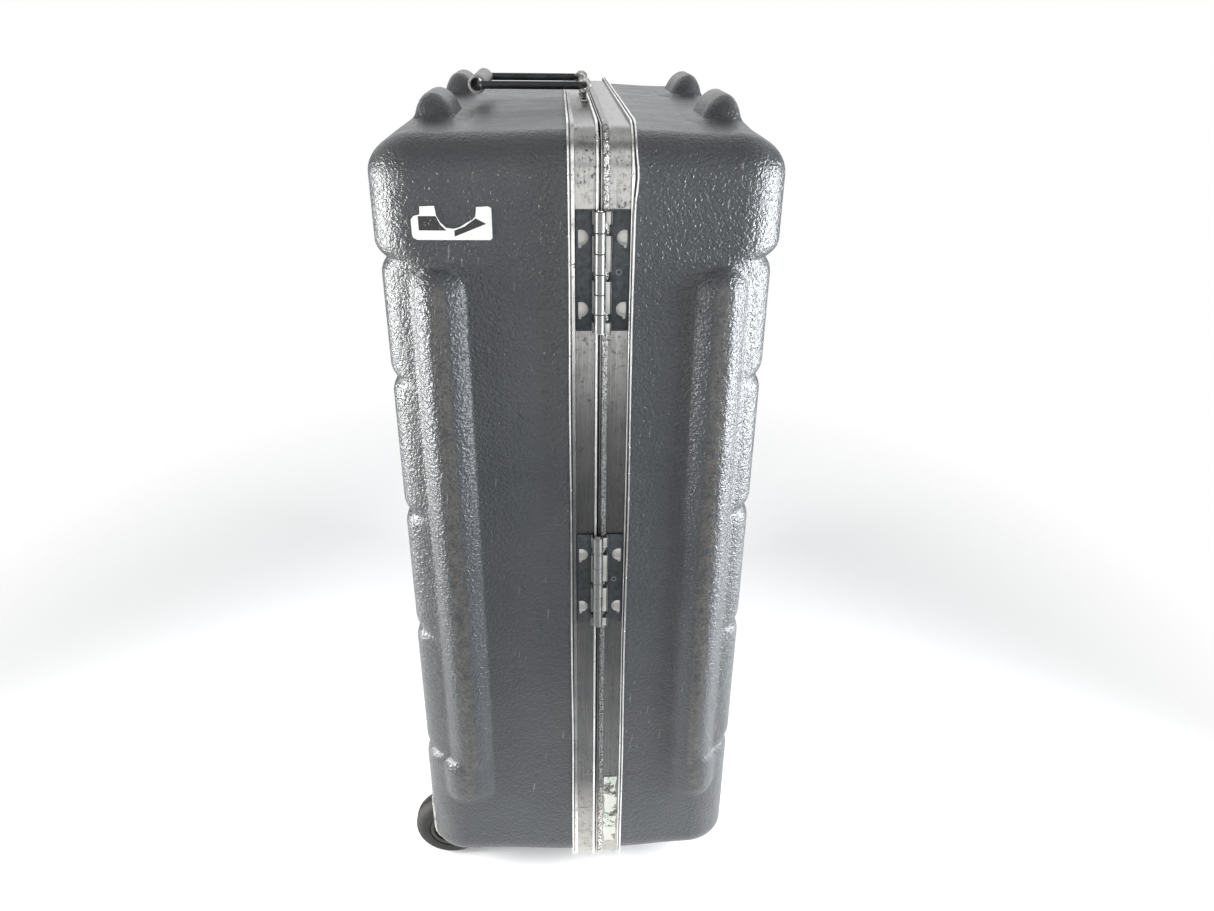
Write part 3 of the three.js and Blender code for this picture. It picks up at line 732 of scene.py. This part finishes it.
def shell_surface(face, side, heights, rib_x, bottom_domes):
    """The shell's outside: the tub with its pads, ribs and domes drawn out of it."""
    points, outward, faces = tub_grid(face, side, rib_x)
    x, y, z = points.T
    depth = np.abs(x)
    rise = pads(depth, z, outward, face, heights)

    across = depth - abs(rib_x)
    rib = rib_profile(capsule_share(across, z, rib_middle, rib_length, rib_width, rib_width / 2))
    rib *= np.abs(outward[:, 1]) > 0.001
    dome = dome_profile(capsule_share(across, np.abs(y), dome_offset, dome_length, dome_width, dome_cap))
    dome *= np.abs(outward[:, 2]) > 0.001
    if not bottom_domes:
        dome *= z > 0

    lean = 1 - draft * depth / (face + rise)
    inner = smooth_step((depth - 34) / 60)
    sag = 0.7
    wave = 0.35 * (np.sin(y / 41 + z / 67) + np.sin(z / 83 - depth / 29 + 1.3)) * inner
    dip = (wave - sag) * inner
    x = side * (depth + rise)
    rib_lift = wall_y + rib_height - np.abs(y)
    dome_lift = wall_z + dome_height - np.abs(z)
    y = y * lean + np.sign(y) * rib_lift * rib + outward[:, 1] * dip
    z = z * lean + np.sign(z) * dome_lift * dome + outward[:, 2] * dip * (dome < 0.01)

    corner = np.clip(np.abs(outward[:, 0]) * np.hypot(outward[:, 1], outward[:, 2]) * 2, 0, 1)
    crest = smooth_step((rib - 0.84) / 0.13)
    wear = np.clip(np.maximum.reduce([crest, 0.5 * dome, 0.45 * corner]), 0, 1)
    return np.stack([x, y, z], axis=1), faces, wear


def apply_modifiers(piece):
    graph = bpy.context.evaluated_depsgraph_get()
    mesh = bpy.data.meshes.new_from_object(piece.evaluated_get(graph))
    piece.modifiers.clear()
    piece.data = mesh


def shell(name, body, face, side, heights, rib_x, bottom_domes, node, cutters=()):
    points, faces, wear = shell_surface(face, side, heights, rib_x, bottom_domes)
    mesh = mesh_from(name, points, faces)
    float_layer(mesh, "wear", wear)
    mesh.shade_smooth()
    piece = add_piece(name, mesh, body, "shell_plastic", [node])
    solid = piece.modifiers.new("sheet", "SOLIDIFY")
    solid.thickness = wall * MM
    solid.offset = -1
    solid.use_even_offset = True
    solid.use_quality_normals = True
    for low, high in cutters:
        cut_box(piece, low, high)
    apply_modifiers(piece)
    shade(piece.data, 50)
    return piece


def cut_box(piece, low, high):
    """Cuts a box, given in metres, out of a piece."""
    bm = bmesh.new()
    bmesh.ops.create_cube(bm, size=1)
    size = Vector(high) - Vector(low)
    middle = (Vector(high) + Vector(low)) / 2
    bmesh.ops.transform(bm, matrix=Matrix.Translation(middle) @ Matrix.Diagonal((*size, 1)), verts=bm.verts)
    mesh = bpy.data.meshes.new("cutter")
    bm.to_mesh(mesh)
    bm.free()
    cutter = bpy.data.objects.new("cutter", mesh)
    bpy.context.scene.collection.objects.link(cutter)
    boolean = piece.modifiers.new("cut", "BOOLEAN")
    boolean.operation = "DIFFERENCE"
    boolean.solver = "EXACT"
    boolean.object = cutter
    apply_modifiers(piece)
    bpy.data.objects.remove(cutter)


def wheel_openings():
    """Where the base shell is open for its wheel wells."""
    boxes = []
    clear = Vector((gap, gap, gap)) * 0.9 * MM
    outside = Vector((50, 0, 50)) * MM
    for name in ("near_wheel_well", "far_wheel_well"):
        low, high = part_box(name)
        boxes.append((low - outside - clear, high + clear))
    return boxes


def shells():
    shell("base_shell_skin", "base", base_face, -1, base_pads, base_rib_x, False, "base_shell",
          wheel_openings())
    shell("lid_shell_skin", "lid", lid_face, 1, lid_pads, lid_rib_x, True, "lid_shell")


# -------- closure


def closure_path():
    """Stations round the case from the butt seam: outside point (y, z) and outward direction."""
    y = frame_depth / 2 - frame_corner
    z = frame_height / 2 - frame_corner
    corner_turns = 14
    top_zone = 30                 # finer below the top corner on the hinge side, where a lip is bent
    path = []

    def straight(a, b, normal, steps):
        for i in range(steps + 1):
            path.append((*(np.array(a) + (np.array(b) - np.array(a)) * i / steps), *normal))

    def turn(centre, start):
        for i in range(1, corner_turns):
            angle = math.radians(start - 90 * i / corner_turns)
            normal = (math.cos(angle), math.sin(angle))
            path.append((centre[0] + frame_corner * normal[0], centre[1] + frame_corner * normal[1], *normal))

    side_y = frame_depth / 2
    end_z = frame_height / 2
    straight((-side_y, seam_z + seam_width / 2), (-side_y, z - top_zone), (-1, 0), 24)
    straight((-side_y, z - top_zone + 2), (-side_y, z), (-1, 0), 8)
    turn((-y, z), 180)
    straight((-y, end_z), (y, end_z), (0, 1), 20)
    turn((y, z), 90)
    straight((side_y, z), (side_y, -z), (1, 0), 24)
    turn((y, -z), 0)
    straight((y, -end_z), (-y, -end_z), (0, -1), 16)
    turn((-y, -z), -90)
    straight((-side_y, -z), (-side_y, seam_z - seam_width / 2), (-1, 0), 4)
    return np.array(path)


def rounded_outline(corners, radius):
    """A closed outline with each corner cut to a small arc of three points."""
    bulge = 0.29                  # 1 - cos 45 degrees: the arc's middle
    points = []
    count = len(corners)
    for i in range(count):
        before, corner, after = (np.array(corners[j % count], float) for j in (i - 1, i, i + 1))
        a = (before - corner) / np.linalg.norm(before - corner)
        b = (after - corner) / np.linalg.norm(after - corner)
        reach = min(radius, 0.4 * np.linalg.norm(before - corner), 0.4 * np.linalg.norm(after - corner))
        points += [corner + a * reach, corner + (a + b) * reach * bulge, corner + b * reach]
    return np.array(points)


flange_top = -wall - gap
flange_low = flange_top - web

# Cross-sections of the two extrusions, as corners (x, height above the shell's wall).
base_section = [
    (-27.5, gap), (-27.5, 6.5), (-25.8, 6.5), (-25.8, channel_floor), (-24.8, channel_floor), (-24.8, 5.5),
    (-21.4, 5.5), (-21.4, channel_floor), (-3.4, channel_floor), (-3.4, 6.5), (-1.2, 6.5),
    (-1.2, channel_floor), (-0.6, channel_floor), (-0.6, flange_low), (-4.6, flange_low),
    (-4.6, flange_low - 2.4), (-6, flange_low - 2.4), (-6, flange_low), (-24, flange_low), (-24, flange_top),
    (-2.2, flange_top), (-2.2, gap)]

lid_section = [
    (lid_width, gap), (lid_width, lip_height), (29.6, lip_height), (29.6, channel_floor),
    (28.2, channel_floor), (28.2, 6.5), (26.6, 6.5), (26.6, channel_floor), (8.2, channel_floor), (8.2, 5.2),
    (2.8, 5.2), (2.8, channel_floor), (1.9, channel_floor), (1.9, 4.2), (0.9, 4.2), (0.9, flange_low - 2.8),
    (-4.2, flange_low - 2.8), (-4.2, flange_low - 4.2), (1.9, flange_low - 4.2), (1.9, flange_low),
    (24, flange_low), (24, flange_top), (1.9, flange_top), (1.9, gap)]


flat_band = 5.5               # middle of the lid extrusion's flat band, beside the parting plane
flat_band_half = 3.2


def closure_half(name, section, body, node, bend):
    """One extrusion, swept round the case from seam to seam."""
    outline = rounded_outline(section, 0.45)
    path = closure_path()
    x = np.repeat(outline[None, :, 0], len(path), 0)
    rise = np.repeat(outline[None, :, 1], len(path), 0)
    inset = lip_height - rise
    y = path[:, None, 0] - inset * path[:, None, 2]
    z = path[:, None, 1] - inset * path[:, None, 3]
    x = x + bend(x, y, z, rise)
    points = np.stack([x, y, z], axis=2).reshape(-1, 3)
    count = len(outline)
    index = np.arange(len(points)).reshape(len(path), count)
    following = np.roll(index, -1, axis=1)
    quads = np.stack([index[:-1], index[1:], following[1:], following[:-1]], axis=2).reshape(-1, 4)
    mesh = mesh_from(name, points, [*quads.tolist(), index[0].tolist(), index[-1][::-1].tolist()])
    # Painted shadow: a dark band on the channel floor beside each lip, kept as a point attribute.
    on_floor = smooth_step((3.2 - np.abs(rise)) / 1.2) * (rise > 0)
    to_lip = np.min(np.abs(x[:, :, None] - lip_edges(section)[None, None, :]), axis=2)
    float_layer(mesh, "dirt", (on_floor * smooth_step(1 - to_lip) * 0.9).reshape(-1))
    float_layer(mesh, "lip", smooth_step((rise - 5.7) / 0.6).reshape(-1))
    on_band = np.abs(x - flat_band) < flat_band_half
    float_layer(mesh, "pitted", (smooth_step((rise - 4.6) / 0.4) * on_band).reshape(-1))
    bm = bmesh.new()
    bm.from_mesh(mesh)
    bmesh.ops.recalc_face_normals(bm, faces=bm.faces)
    bm.to_mesh(mesh)
    bm.free()
    shade(mesh, 32)
    return add_piece(name, mesh, body, "closure_aluminium", [node])


def lip_edges(section):
    """Where the channel floor meets a lip."""
    return np.array([x for x, rise in section if rise == channel_floor])


def outer_lip(x, rise, start):
    """0 on the rest of a section, rising to 1 towards the tip of its outer lip."""
    return smooth_step((x - start) / 3) * smooth_step((rise - 1.5) / 4)


def lid_bend(x, y, z, rise):
    """The lid's outer lip is knocked outwards near the top bend on the hinge side, and leans elsewhere."""
    outer = outer_lip(x, rise, 26)
    kink_z = frame_height / 2 - 42
    kink = 2.0 * np.exp(-(((z - kink_z) / 16) ** 2))
    lean = 0.5 * np.sin(z / 57)
    return outer * (kink + lean) * (y < 0) - outer * 0.5


def base_bend(x, y, z, rise):
    """The base's outer lip waves slightly on the hinge side."""
    return outer_lip(-x, rise, 24) * 0.35 * np.sin(z / 43 + 0.5) * (y < 0)


def closure():
    closure_half("base_closure_rail", base_section, "base", "base_closure", base_bend)
    closure_half("lid_closure_rail", lid_section, "lid", "lid_closure", lid_bend)


# -------- hinges

hinge_wall = -wall_y


def rivet_head(parts, x, rise, z, radius, outer, side):
    """A pressed rivet head with one flat side, towards the closure's outer lip."""
    profile = [(0, 1.5), (radius * 0.45, 1.4), (radius * 0.8, 1.0), (radius, 0.35), (radius, -0.2), (0, -0.2)]
    clip = (Vector((outer, 0, 0)), Vector((side, 0, 0)))
    parts.lathe(profile, (x, hinge_wall - rise, z), "-y", 28, 0.7, clip)


def hinge_leaf(name, node, body, side, z, plate_from, plate_to, first):
    """A plate with tabs that step up to the knuckles, two clipped rivets and its share of the knuckles."""
    parts = Parts()
    low = z - hinge_length / 2
    high = z + hinge_length / 2
    leaf_top = leaf_low + leaf_thick
    tab_top = knuckle_rise + leaf_thick / 2
    shelf = (tab_top - leaf_thick, tab_top)
    tab_end, arm_from, arm_to = 5.1, 2.9, 5.5

    def span(a, b):
        return sorted((side * a, side * b))

    def rise(a, b):
        return (hinge_wall - b, hinge_wall - a)

    parts.box(span(plate_from, plate_to), rise(leaf_low, leaf_top), (low, high), 0.4)
    tabs = [(0, 0.10), (0.19, 0.48), (0.56, 0.83), (0.91, 1)]     # shares of the length, from the top
    for a, b in tabs:
        ends = (high - b * hinge_length, high - a * hinge_length)
        # The tabs' risers and shelves carry painted highlights along the bends up to the knuckles.
        parts.box(span(plate_from, plate_from + leaf_thick), rise(leaf_low + 0.5, tab_top), ends, 0.5, 0.4)
        parts.box(span(tab_end, plate_from + leaf_thick), rise(*shelf), ends, 0.5, 0.85)

    knuckles = 6
    pitch = hinge_length / knuckles
    half = (pitch - gap) / 2
    round_off = 0.4
    barrel = mirrored([(knuckle_bore, -half), (knuckle_radius - round_off, -half),
                       (knuckle_radius, -half + round_off)])
    for i in range(first, knuckles, 2):
        middle = low + (i + 0.5) * pitch
        parts.lathe(barrel, (0, hinge_wall - knuckle_rise, middle), "z", 28, 0.25)
        parts.box(span(arm_from, arm_to), rise(*shelf), (middle - half, middle + half), 0.4, 0.1)

    rivet_radius, rivet_spacing, rivet_in, flat_in = 6.8, 64, 4.4, 2.2
    for end in (-1, 1):
        rivet_z = z + end * rivet_spacing / 2 - 1.5
        rivet_head(parts, side * (plate_to - rivet_in), leaf_top, rivet_z, rivet_radius,
                   side * (plate_to - flat_in), side)
        parts.box(span(plate_to - 5, plate_to - 2.4), rise(leaf_low + 1, leaf_top + 0.5),
                  (rivet_z - 9, rivet_z - 5), 0.3, 0.6)
    if side > 0:
        ring = [(1.8, 0), (2.1, 0.2), (2.5, 0.2), (2.8, 0), (2.8, -0.2), (1.8, -0.2), (1.8, 0)]
        parts.lathe(ring, (plate_to - 9, hinge_wall - leaf_top, z), "-y", 24, 0.25)
    parts.piece(name, body, "zinc_plate", [node])


def hinges():
    for name, z in hinge_heights.items():
        hinge_leaf(f"{name}_base_leaf", f"{name}_hinge_base_leaf", "base", -1, z, 4.7, 20.9, 1)
        hinge_leaf(f"{name}_lid_leaf", f"{name}_hinge_lid_leaf", "lid", 1, z, 8.7, 26.1, 0)
        parts = Parts()
        half = hinge_length / 2 + 1
        chamfer = 0.4
        pin = [(0, -half), (pin_radius - chamfer, -half), (pin_radius, -half + chamfer)]
        parts.lathe(mirrored(pin), (0, hinge_wall - knuckle_rise, z), "z", 24)
        parts.piece(f"{name}_pin", "base", "bright_steel", [f"{name}_hinge_pin"])


# -------- handles


def bail(pivot, along, half, reach, bend, radius, sides):
    """A rod bent into a handle: a grip's stretch, two arms back to the pivot, and turned-in ends."""
    in_turn = 20
    out = Vector((-reach, 0, 0))
    ends = [-along * half, along * half]
    points = [ends[0] + along * in_turn, ends[0], ends[0] + out, ends[1] + out, ends[1],
              ends[1] - along * in_turn]
    parts = Parts()
    parts.tube([point + pivot for point in rounded_path(points, bend)], radius, sides)
    return parts


def tow_handle():
    pivot = Vector((-7, 0, frame_height / 2 + 12))
    span = 134
    reach = 111
    rod = bail(pivot, Vector((0, 1, 0)), span / 2, reach, 7.5, 4, 24)
    rod.piece("tow_rod", "tow_handle", "dark_steel", ["tow_handle_rod"])

    half = 55
    outer = 9.3
    inner = 6.6
    waist = outer - 0.3
    profile = [(inner, -half), (outer - 1.4, -half), (outer - 0.4, -half + 0.5), (outer, -half + 1.8),
               (waist, -half + 9)]
    parts = Parts()
    parts.lathe(mirrored(profile), (pivot.x - reach, 0, pivot.z), "y", 40)
    parts.piece("tow_grip", "tow_handle", "grip_tube", ["tow_handle_grip"])
    for name in ("near", "far"):
        tow_bracket(name, pivot)


def tow_bracket(name, pivot):
    """An eye round the rod's turned-in end, on a leaning strap and a foot in the base's channel."""
    low, high = (local(p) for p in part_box(f"tow_bracket_{name}"))
    middle_y = (low.y + high.y) / 2
    radius = (high.x - low.x) / 2
    half_eye = 2
    strap_half = 2.6
    foot = 2
    bore = 4.3
    round_off = 0.8
    parts = Parts()
    ring = [(bore, -half_eye), (radius - round_off, -half_eye), (radius, -half_eye + round_off)]
    parts.lathe(mirrored(ring), (pivot.x, middle_y, pivot.z), "y", 40)
    inwards = -1 if middle_y > 0 else 1
    lean = 8
    strap_top = pivot.z - bore - 1
    foot_top = low.z + foot
    strap = [(-half_eye, strap_top), (half_eye, strap_top), (lean + 3, foot_top), (lean - 1, foot_top)]

    def place(a, b, c):
        return Vector((pivot.x - strap_half + c, middle_y + inwards * a, b))
    parts.prism(strap, 2 * strap_half, place, 0.4)
    ends = sorted((middle_y + inwards * 3, middle_y + inwards * (high.y - middle_y)))
    foot_half = strap_half + 0.7
    parts.box((pivot.x - foot_half, pivot.x + foot_half), ends, (low.z, foot_top), 0.6)
    parts.piece(f"{name}_tow_bracket", "base", "bright_steel", [f"tow_bracket_{name}"])


def carry_handle():
    pivot = Vector((-12.5, frame_depth / 2 + 8, 0))
    reach = 44
    rod = bail(pivot, Vector((0, 0, 1)), 65, reach, 7, 3, 20)
    rod.piece("carry_rod", "carry_handle", "dark_steel", ["carry_handle_rod"])

    outer = 9
    inner = 5.2
    half = 55
    ridges = 11
    ridged = 2 * half - 14
    crest, valley = outer - 0.1, outer - 0.9
    end = [(inner, -half), (outer - 1.5, -half), (outer - 0.2, -half + 1.5)]
    profile = list(end)
    for i in range(ridges):
        z = (i + 0.5) / ridges * ridged - ridged / 2
        profile += [(crest, z - 3), (valley, z - 1.9), (valley, z + 1.9), (crest, z + 3)]
    profile += mirrored(end)[len(end):]
    parts = Parts()
    parts.lathe(profile, (pivot.x - reach, pivot.y, 0), "z", 36)
    parts.piece("carry_grip", "carry_handle", "grip_rubber", ["carry_handle_grip"])
    for name in ("upper", "lower"):
        refined(f"{name}_carry_bracket", f"carry_bracket_{name}", "base", "zinc_plate", 0.5)


# -------- wheels


def wheels():
    for name in ("near", "far"):
        low, high = (local(p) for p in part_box(f"{name}_wheel_tyre"))
        middle = (low + high) / 2
        radius = (high.z - low.z) / 2
        half = (high.y - low.y) / 2
        tyre(name, middle, radius, half)
        hub(name, middle, half - 1)
        axle(name, middle)
        refined(f"{name}_well", f"{name}_wheel_well", "base", "bright_steel", 0.5)


def tyre(name, middle, radius, half):
    """Round shoulders, and a tread with two grooves."""
    shoulder = 12
    inner = 27.4
    chamfer = 0.6
    steps = 8
    profile = [(inner, -half + chamfer), (inner + chamfer, -half)]
    for i in range(steps + 1):
        angle = math.radians(90 * i / steps)
        profile.append((radius - shoulder + shoulder * math.sin(angle),
                        -half + shoulder - shoulder * math.cos(angle)))
    groove, groove_depth = -1.5, 1.2
    profile += [(radius, groove - 1), (radius - groove_depth, groove - 0.6),
                (radius - groove_depth, groove + 0.6), (radius, groove + 1)]
    parts = Parts()
    parts.lathe(mirrored(profile), middle, "y", 72)
    parts.piece(f"{name}_tyre", f"{name}_wheel", "tyre_rubber", [f"{name}_wheel_tyre"], angle=40)


def hub(name, middle, half):
    """A rim and a boss joined by a thin disc, with stiffening ribs on both of its faces."""
    boss = half + 4
    disc = half - 4
    bore = 5.1
    profile = [(bore, -boss), (8.4, -boss), (9, -boss + 0.6), (9.6, -disc + 0.6), (10.2, -disc), (21, -disc),
               (22, -disc - 1), (22, -half + 0.6), (22.6, -half), (26.4, -half), (27, -half + 0.6)]
    parts = Parts()
    parts.lathe(mirrored(profile), middle, "y", 56)
    spokes = 6
    for i in range(spokes):
        angle = 2 * math.pi * i / spokes
        for face in (-1, 1):
            spoke(parts, middle, angle, face, half)
    parts.piece(f"{name}_hub", f"{name}_wheel", "hub_plastic", [f"{name}_wheel_hub"])


def spoke(parts, middle, angle, face, half):
    """A stiffening rib in the hub's recess."""
    def place(a, b, c):
        out = Vector((math.cos(angle), 0, math.sin(angle)))
        side = Vector((-math.sin(angle), 0, math.cos(angle)))
        return Vector(middle) + out * a + side * b + Vector((0, face * (half - 4.5 + c), 0))
    outline = [(9.2, -1.3), (22.5, -1.1), (22.5, 1.1), (9.2, 1.3)]
    parts.prism(outline, 3.4, place, 0.3)


def axle(name, middle):
    """A shank with a domed head at each end."""
    low, high = (local(p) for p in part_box(f"{name}_wheel_axle"))
    end = (high.y - low.y) / 2
    head = (high.z - low.z) / 2
    shank = end - 4 + gap
    shank_radius = 5
    dome = [(0, 0), (head * 0.5, 0.3), (head * 0.85, 1.2), (head, 2.4)]
    profile = [(r, -end + rise) for r, rise in dome] + [(head, -shank), (shank_radius, -shank)]
    parts = Parts()
    parts.lathe(mirrored(profile), middle, "y", 32)
    parts.piece(f"{name}_axle", "base", "bright_steel", [f"{name}_wheel_axle"])


# -------- latches, foam, labels


def latches():
    for name in ("upper", "lower"):
        refined(f"{name}_latch_base", f"{name}_latch_plate", "base", "zinc_plate", 0.3)
        refined(f"{name}_latch_thumb", f"{name}_latch_lever", f"{name}_lever", "zinc_plate", 0.4)
        refined(f"{name}_latch_claw", f"{name}_latch_hook", f"{name}_hook", "bright_steel", 0.3)
        refined(f"{name}_latch_catch", f"{name}_latch_keeper", "lid", "zinc_plate", 0.3)


def inside_parts():
    refined("base_splice", "base_splice_plate", "base", "closure_aluminium", 0.3)
    refined("lid_splice", "lid_splice_plate", "lid", "closure_aluminium", 0.3)
    refined("seal", "gasket", "base", "gasket_rubber", 0.3)
    for body in ("base", "lid"):
        tray = refined(f"{body}_foam_tray", f"{body}_foam", body, "lining_foam", 5, 50, 4)


def shell_label():
    """A torn sticker with plain dark blocks, on the base's hinge-side wall."""
    low, high = (local(p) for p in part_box("shell_label"))
    left, right = low.x + 1, high.x - 1
    bottom, top = low.z + 0.5, high.z - 0.5
    width = right - left
    height = top - bottom
    # Both outlines and the blocks are in shares of the label's width and height.
    tear = [(0.30, 1.0), (0.315, 0.72), (0.36, 0.52), (0.43, 0.36), (0.52, 0.33), (0.60, 0.38), (0.68, 0.50),
            (0.76, 0.60), (0.80, 0.70), (0.815, 0.97)]
    edge = [(0.96, 0.99), (1.0, 0.94), (1.0, 0.06), (0.975, 0.0), (0.06, 0.0), (0.012, 0.07), (0.0, 0.16),
            (0.0, 0.60), (0.035, 0.70), (0.11, 0.75), (0.12, 0.98)]
    blocks = [[(0.09, 0.28), (0.43, 0.28), (0.36, 0.45), (0.31, 0.70), (0.09, 0.70)],
              [(0.53, 0.10), (0.93, 0.48), (0.80, 0.64), (0.66, 0.40), (0.53, 0.28)]]
    face = base_face + base_pads[0]
    paper = 0.28
    print_height = 0.05
    sunk = 0.7                    # the wall's skin dips by this much behind the label

    def on_wall(lift):
        def place(a, b, c):
            x = left + a * width
            rise = gap - sunk + lift + c
            return Vector((x, -wall_y * (1 - draft * abs(x) / face) - rise, bottom + b * height))
        return place

    parts = Parts()
    parts.prism([*tear, *edge], paper, on_wall(0), 0)
    for block in blocks:
        parts.prism(block, print_height, on_wall(paper + 0.01), 0, material=1)
    parts.piece("torn_sticker", "base", "label_paper", ["shell_label"], [ink])


def closure_label():
    """The rest of a paper strip at the low end of the lid's channel."""
    low, high = (local(p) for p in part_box("closure_label"))
    left, right = low.x + 0.2, high.x - 0.2
    bottom, top = low.z, high.z
    steps = 26
    shares = [i / steps for i in range(steps + 1)]
    edge = [(right - 1.2 - 0.9 * math.sin(9 * t) - 0.8 * math.sin(23 * t + 1), bottom + t * (top - bottom))
            for t in shares]
    edge += [(left + 1 + 0.8 * math.sin(11 * t + 2) + 0.6 * math.sin(31 * t), bottom + t * (top - bottom))
             for t in reversed(shares)]

    def place(a, b, c):
        return Vector((a, hinge_wall - leaf_low - c, b))
    parts = Parts()
    parts.prism(edge, 0.3, place, 0)
    strip = parts.piece("torn_strip", "lid", "label_paper", ["closure_label"])
    strip.data.materials[0] = torn


# -------- camera, light and floor


def camera():
    """The viewing point, from the closure's top corner on the hinge side, and the lens."""
    left_of_parting = -35.1
    before_case = -780
    above_top = 86.6
    pitch, roll, yaw = 63.555, -0.62, -2.888
    data = bpy.data.cameras.new("camera")
    data.sensor_width = 36
    data.lens = 26.84
    viewer = bpy.data.objects.new("camera", data)
    viewer.location = origin + MM * Vector((left_of_parting, before_case - frame_depth / 2,
                                            above_top + frame_height / 2))
    viewer.rotation_euler = [math.radians(a) for a in (pitch, roll, yaw)]
    bpy.context.scene.collection.objects.link(viewer)
    bpy.context.scene.camera = viewer


def softbox(name, place, aim, size, brightness, spread=180, tint=(1, 1, 1)):
    """A soft lamp, hidden from the camera but not from reflections."""
    data = bpy.data.lights.new(name, "AREA")
    data.shape = "RECTANGLE"
    data.size, data.size_y = size
    data.energy = brightness * math.pi * size[0] * size[1]
    data.spread = math.radians(spread)
    data.color = tint
    lamp = bpy.data.objects.new(name, data)
    lamp.location = place
    lamp.rotation_euler = (Vector(aim) - Vector(place)).to_track_quat("-Z", "Y").to_euler()
    lamp.visible_camera = False
    bpy.context.scene.collection.objects.link(lamp)


def surroundings():
    """A room that lights the case softly, and looks white behind it."""
    world = bpy.data.worlds.new("studio")
    world.use_nodes = True
    tree = world.node_tree
    backdrop = tree.nodes["Background"]
    backdrop.inputs["Color"].default_value = (1, 1, 1, 1)
    backdrop.inputs["Strength"].default_value = 1.0
    room = tree.nodes.new("ShaderNodeBackground")
    room.inputs["Color"].default_value = (0.93, 0.96, 1, 1)
    room.inputs["Strength"].default_value = 0.24
    path = tree.nodes.new("ShaderNodeLightPath")
    mix = tree.nodes.new("ShaderNodeMixShader")
    tree.links.new(path.outputs["Is Camera Ray"], mix.inputs[0])
    tree.links.new(room.outputs[0], mix.inputs[1])
    tree.links.new(backdrop.outputs[0], mix.inputs[2])
    tree.links.new(mix.outputs[0], tree.nodes["World Output"].inputs["Surface"])
    bpy.context.scene.world = world


def studio():
    """Lamps above, behind, in front and at both sides, and a pale floor that fades out round the case."""
    bpy.context.scene.view_settings.view_transform = "Standard"
    surroundings()
    middle = (0, 0, 0.5)
    softbox("top_softbox", (0.0, 0.9, 2.9), middle, (4.5, 3.0), 0.75)
    softbox("back_softbox", (0.0, 2.4, 1.8), middle, (4.5, 1.6), 1.15)
    softbox("front_softbox", (0.0, -2.2, 2.4), middle, (3.0, 1.6), 1.2)
    softbox("low_softbox", (0.0, -1.6, 0.6), (0, 0, 0.6), (1.6, 1.15), 1.45)
    softbox("left_softbox", (-1.2, -0.32, 0.52), (0, -0.2, 0.52), (0.5, 0.8), 11, 100)
    softbox("right_softbox", (1.05, -0.38, 0.52), (0, -0.2, 0.52), (0.5, 0.9), 10.5, 100, (0.93, 0.96, 1.0))

    m = Nodes("floor")
    m.set(base_color=m.mix(m.noise(900, 3), (0.92, 0.92, 0.92), (0.94, 0.94, 0.94)), roughness=0.6)
    m.set(emission_color=(1, 1, 1), emission_strength=0.1)
    reach = m.add("ShaderNodeVectorMath", {0: m.place}, operation="LENGTH").outputs["Value"]
    solid_within, gone_beyond = 0.55, 1.15
    m.set(alpha=m.ramp(reach, solid_within, gone_beyond, 1.0, 0.0))
    bm = bmesh.new()
    bmesh.ops.create_grid(bm, x_segments=2, y_segments=2, size=3)
    mesh = bpy.data.meshes.new("floor")
    bm.to_mesh(mesh)
    bm.free()
    mesh.materials.append(m.material)
    floor = bpy.data.objects.new("floor", mesh)
    floor.location = (0, 0.2, cad_box[0].z)
    bpy.context.scene.collection.objects.link(floor)


camera()
studio()
shells()
closure()
hinges()
tow_handle()
carry_handle()
wheels()
latches()
inside_parts()
shell_label()
closure_label()
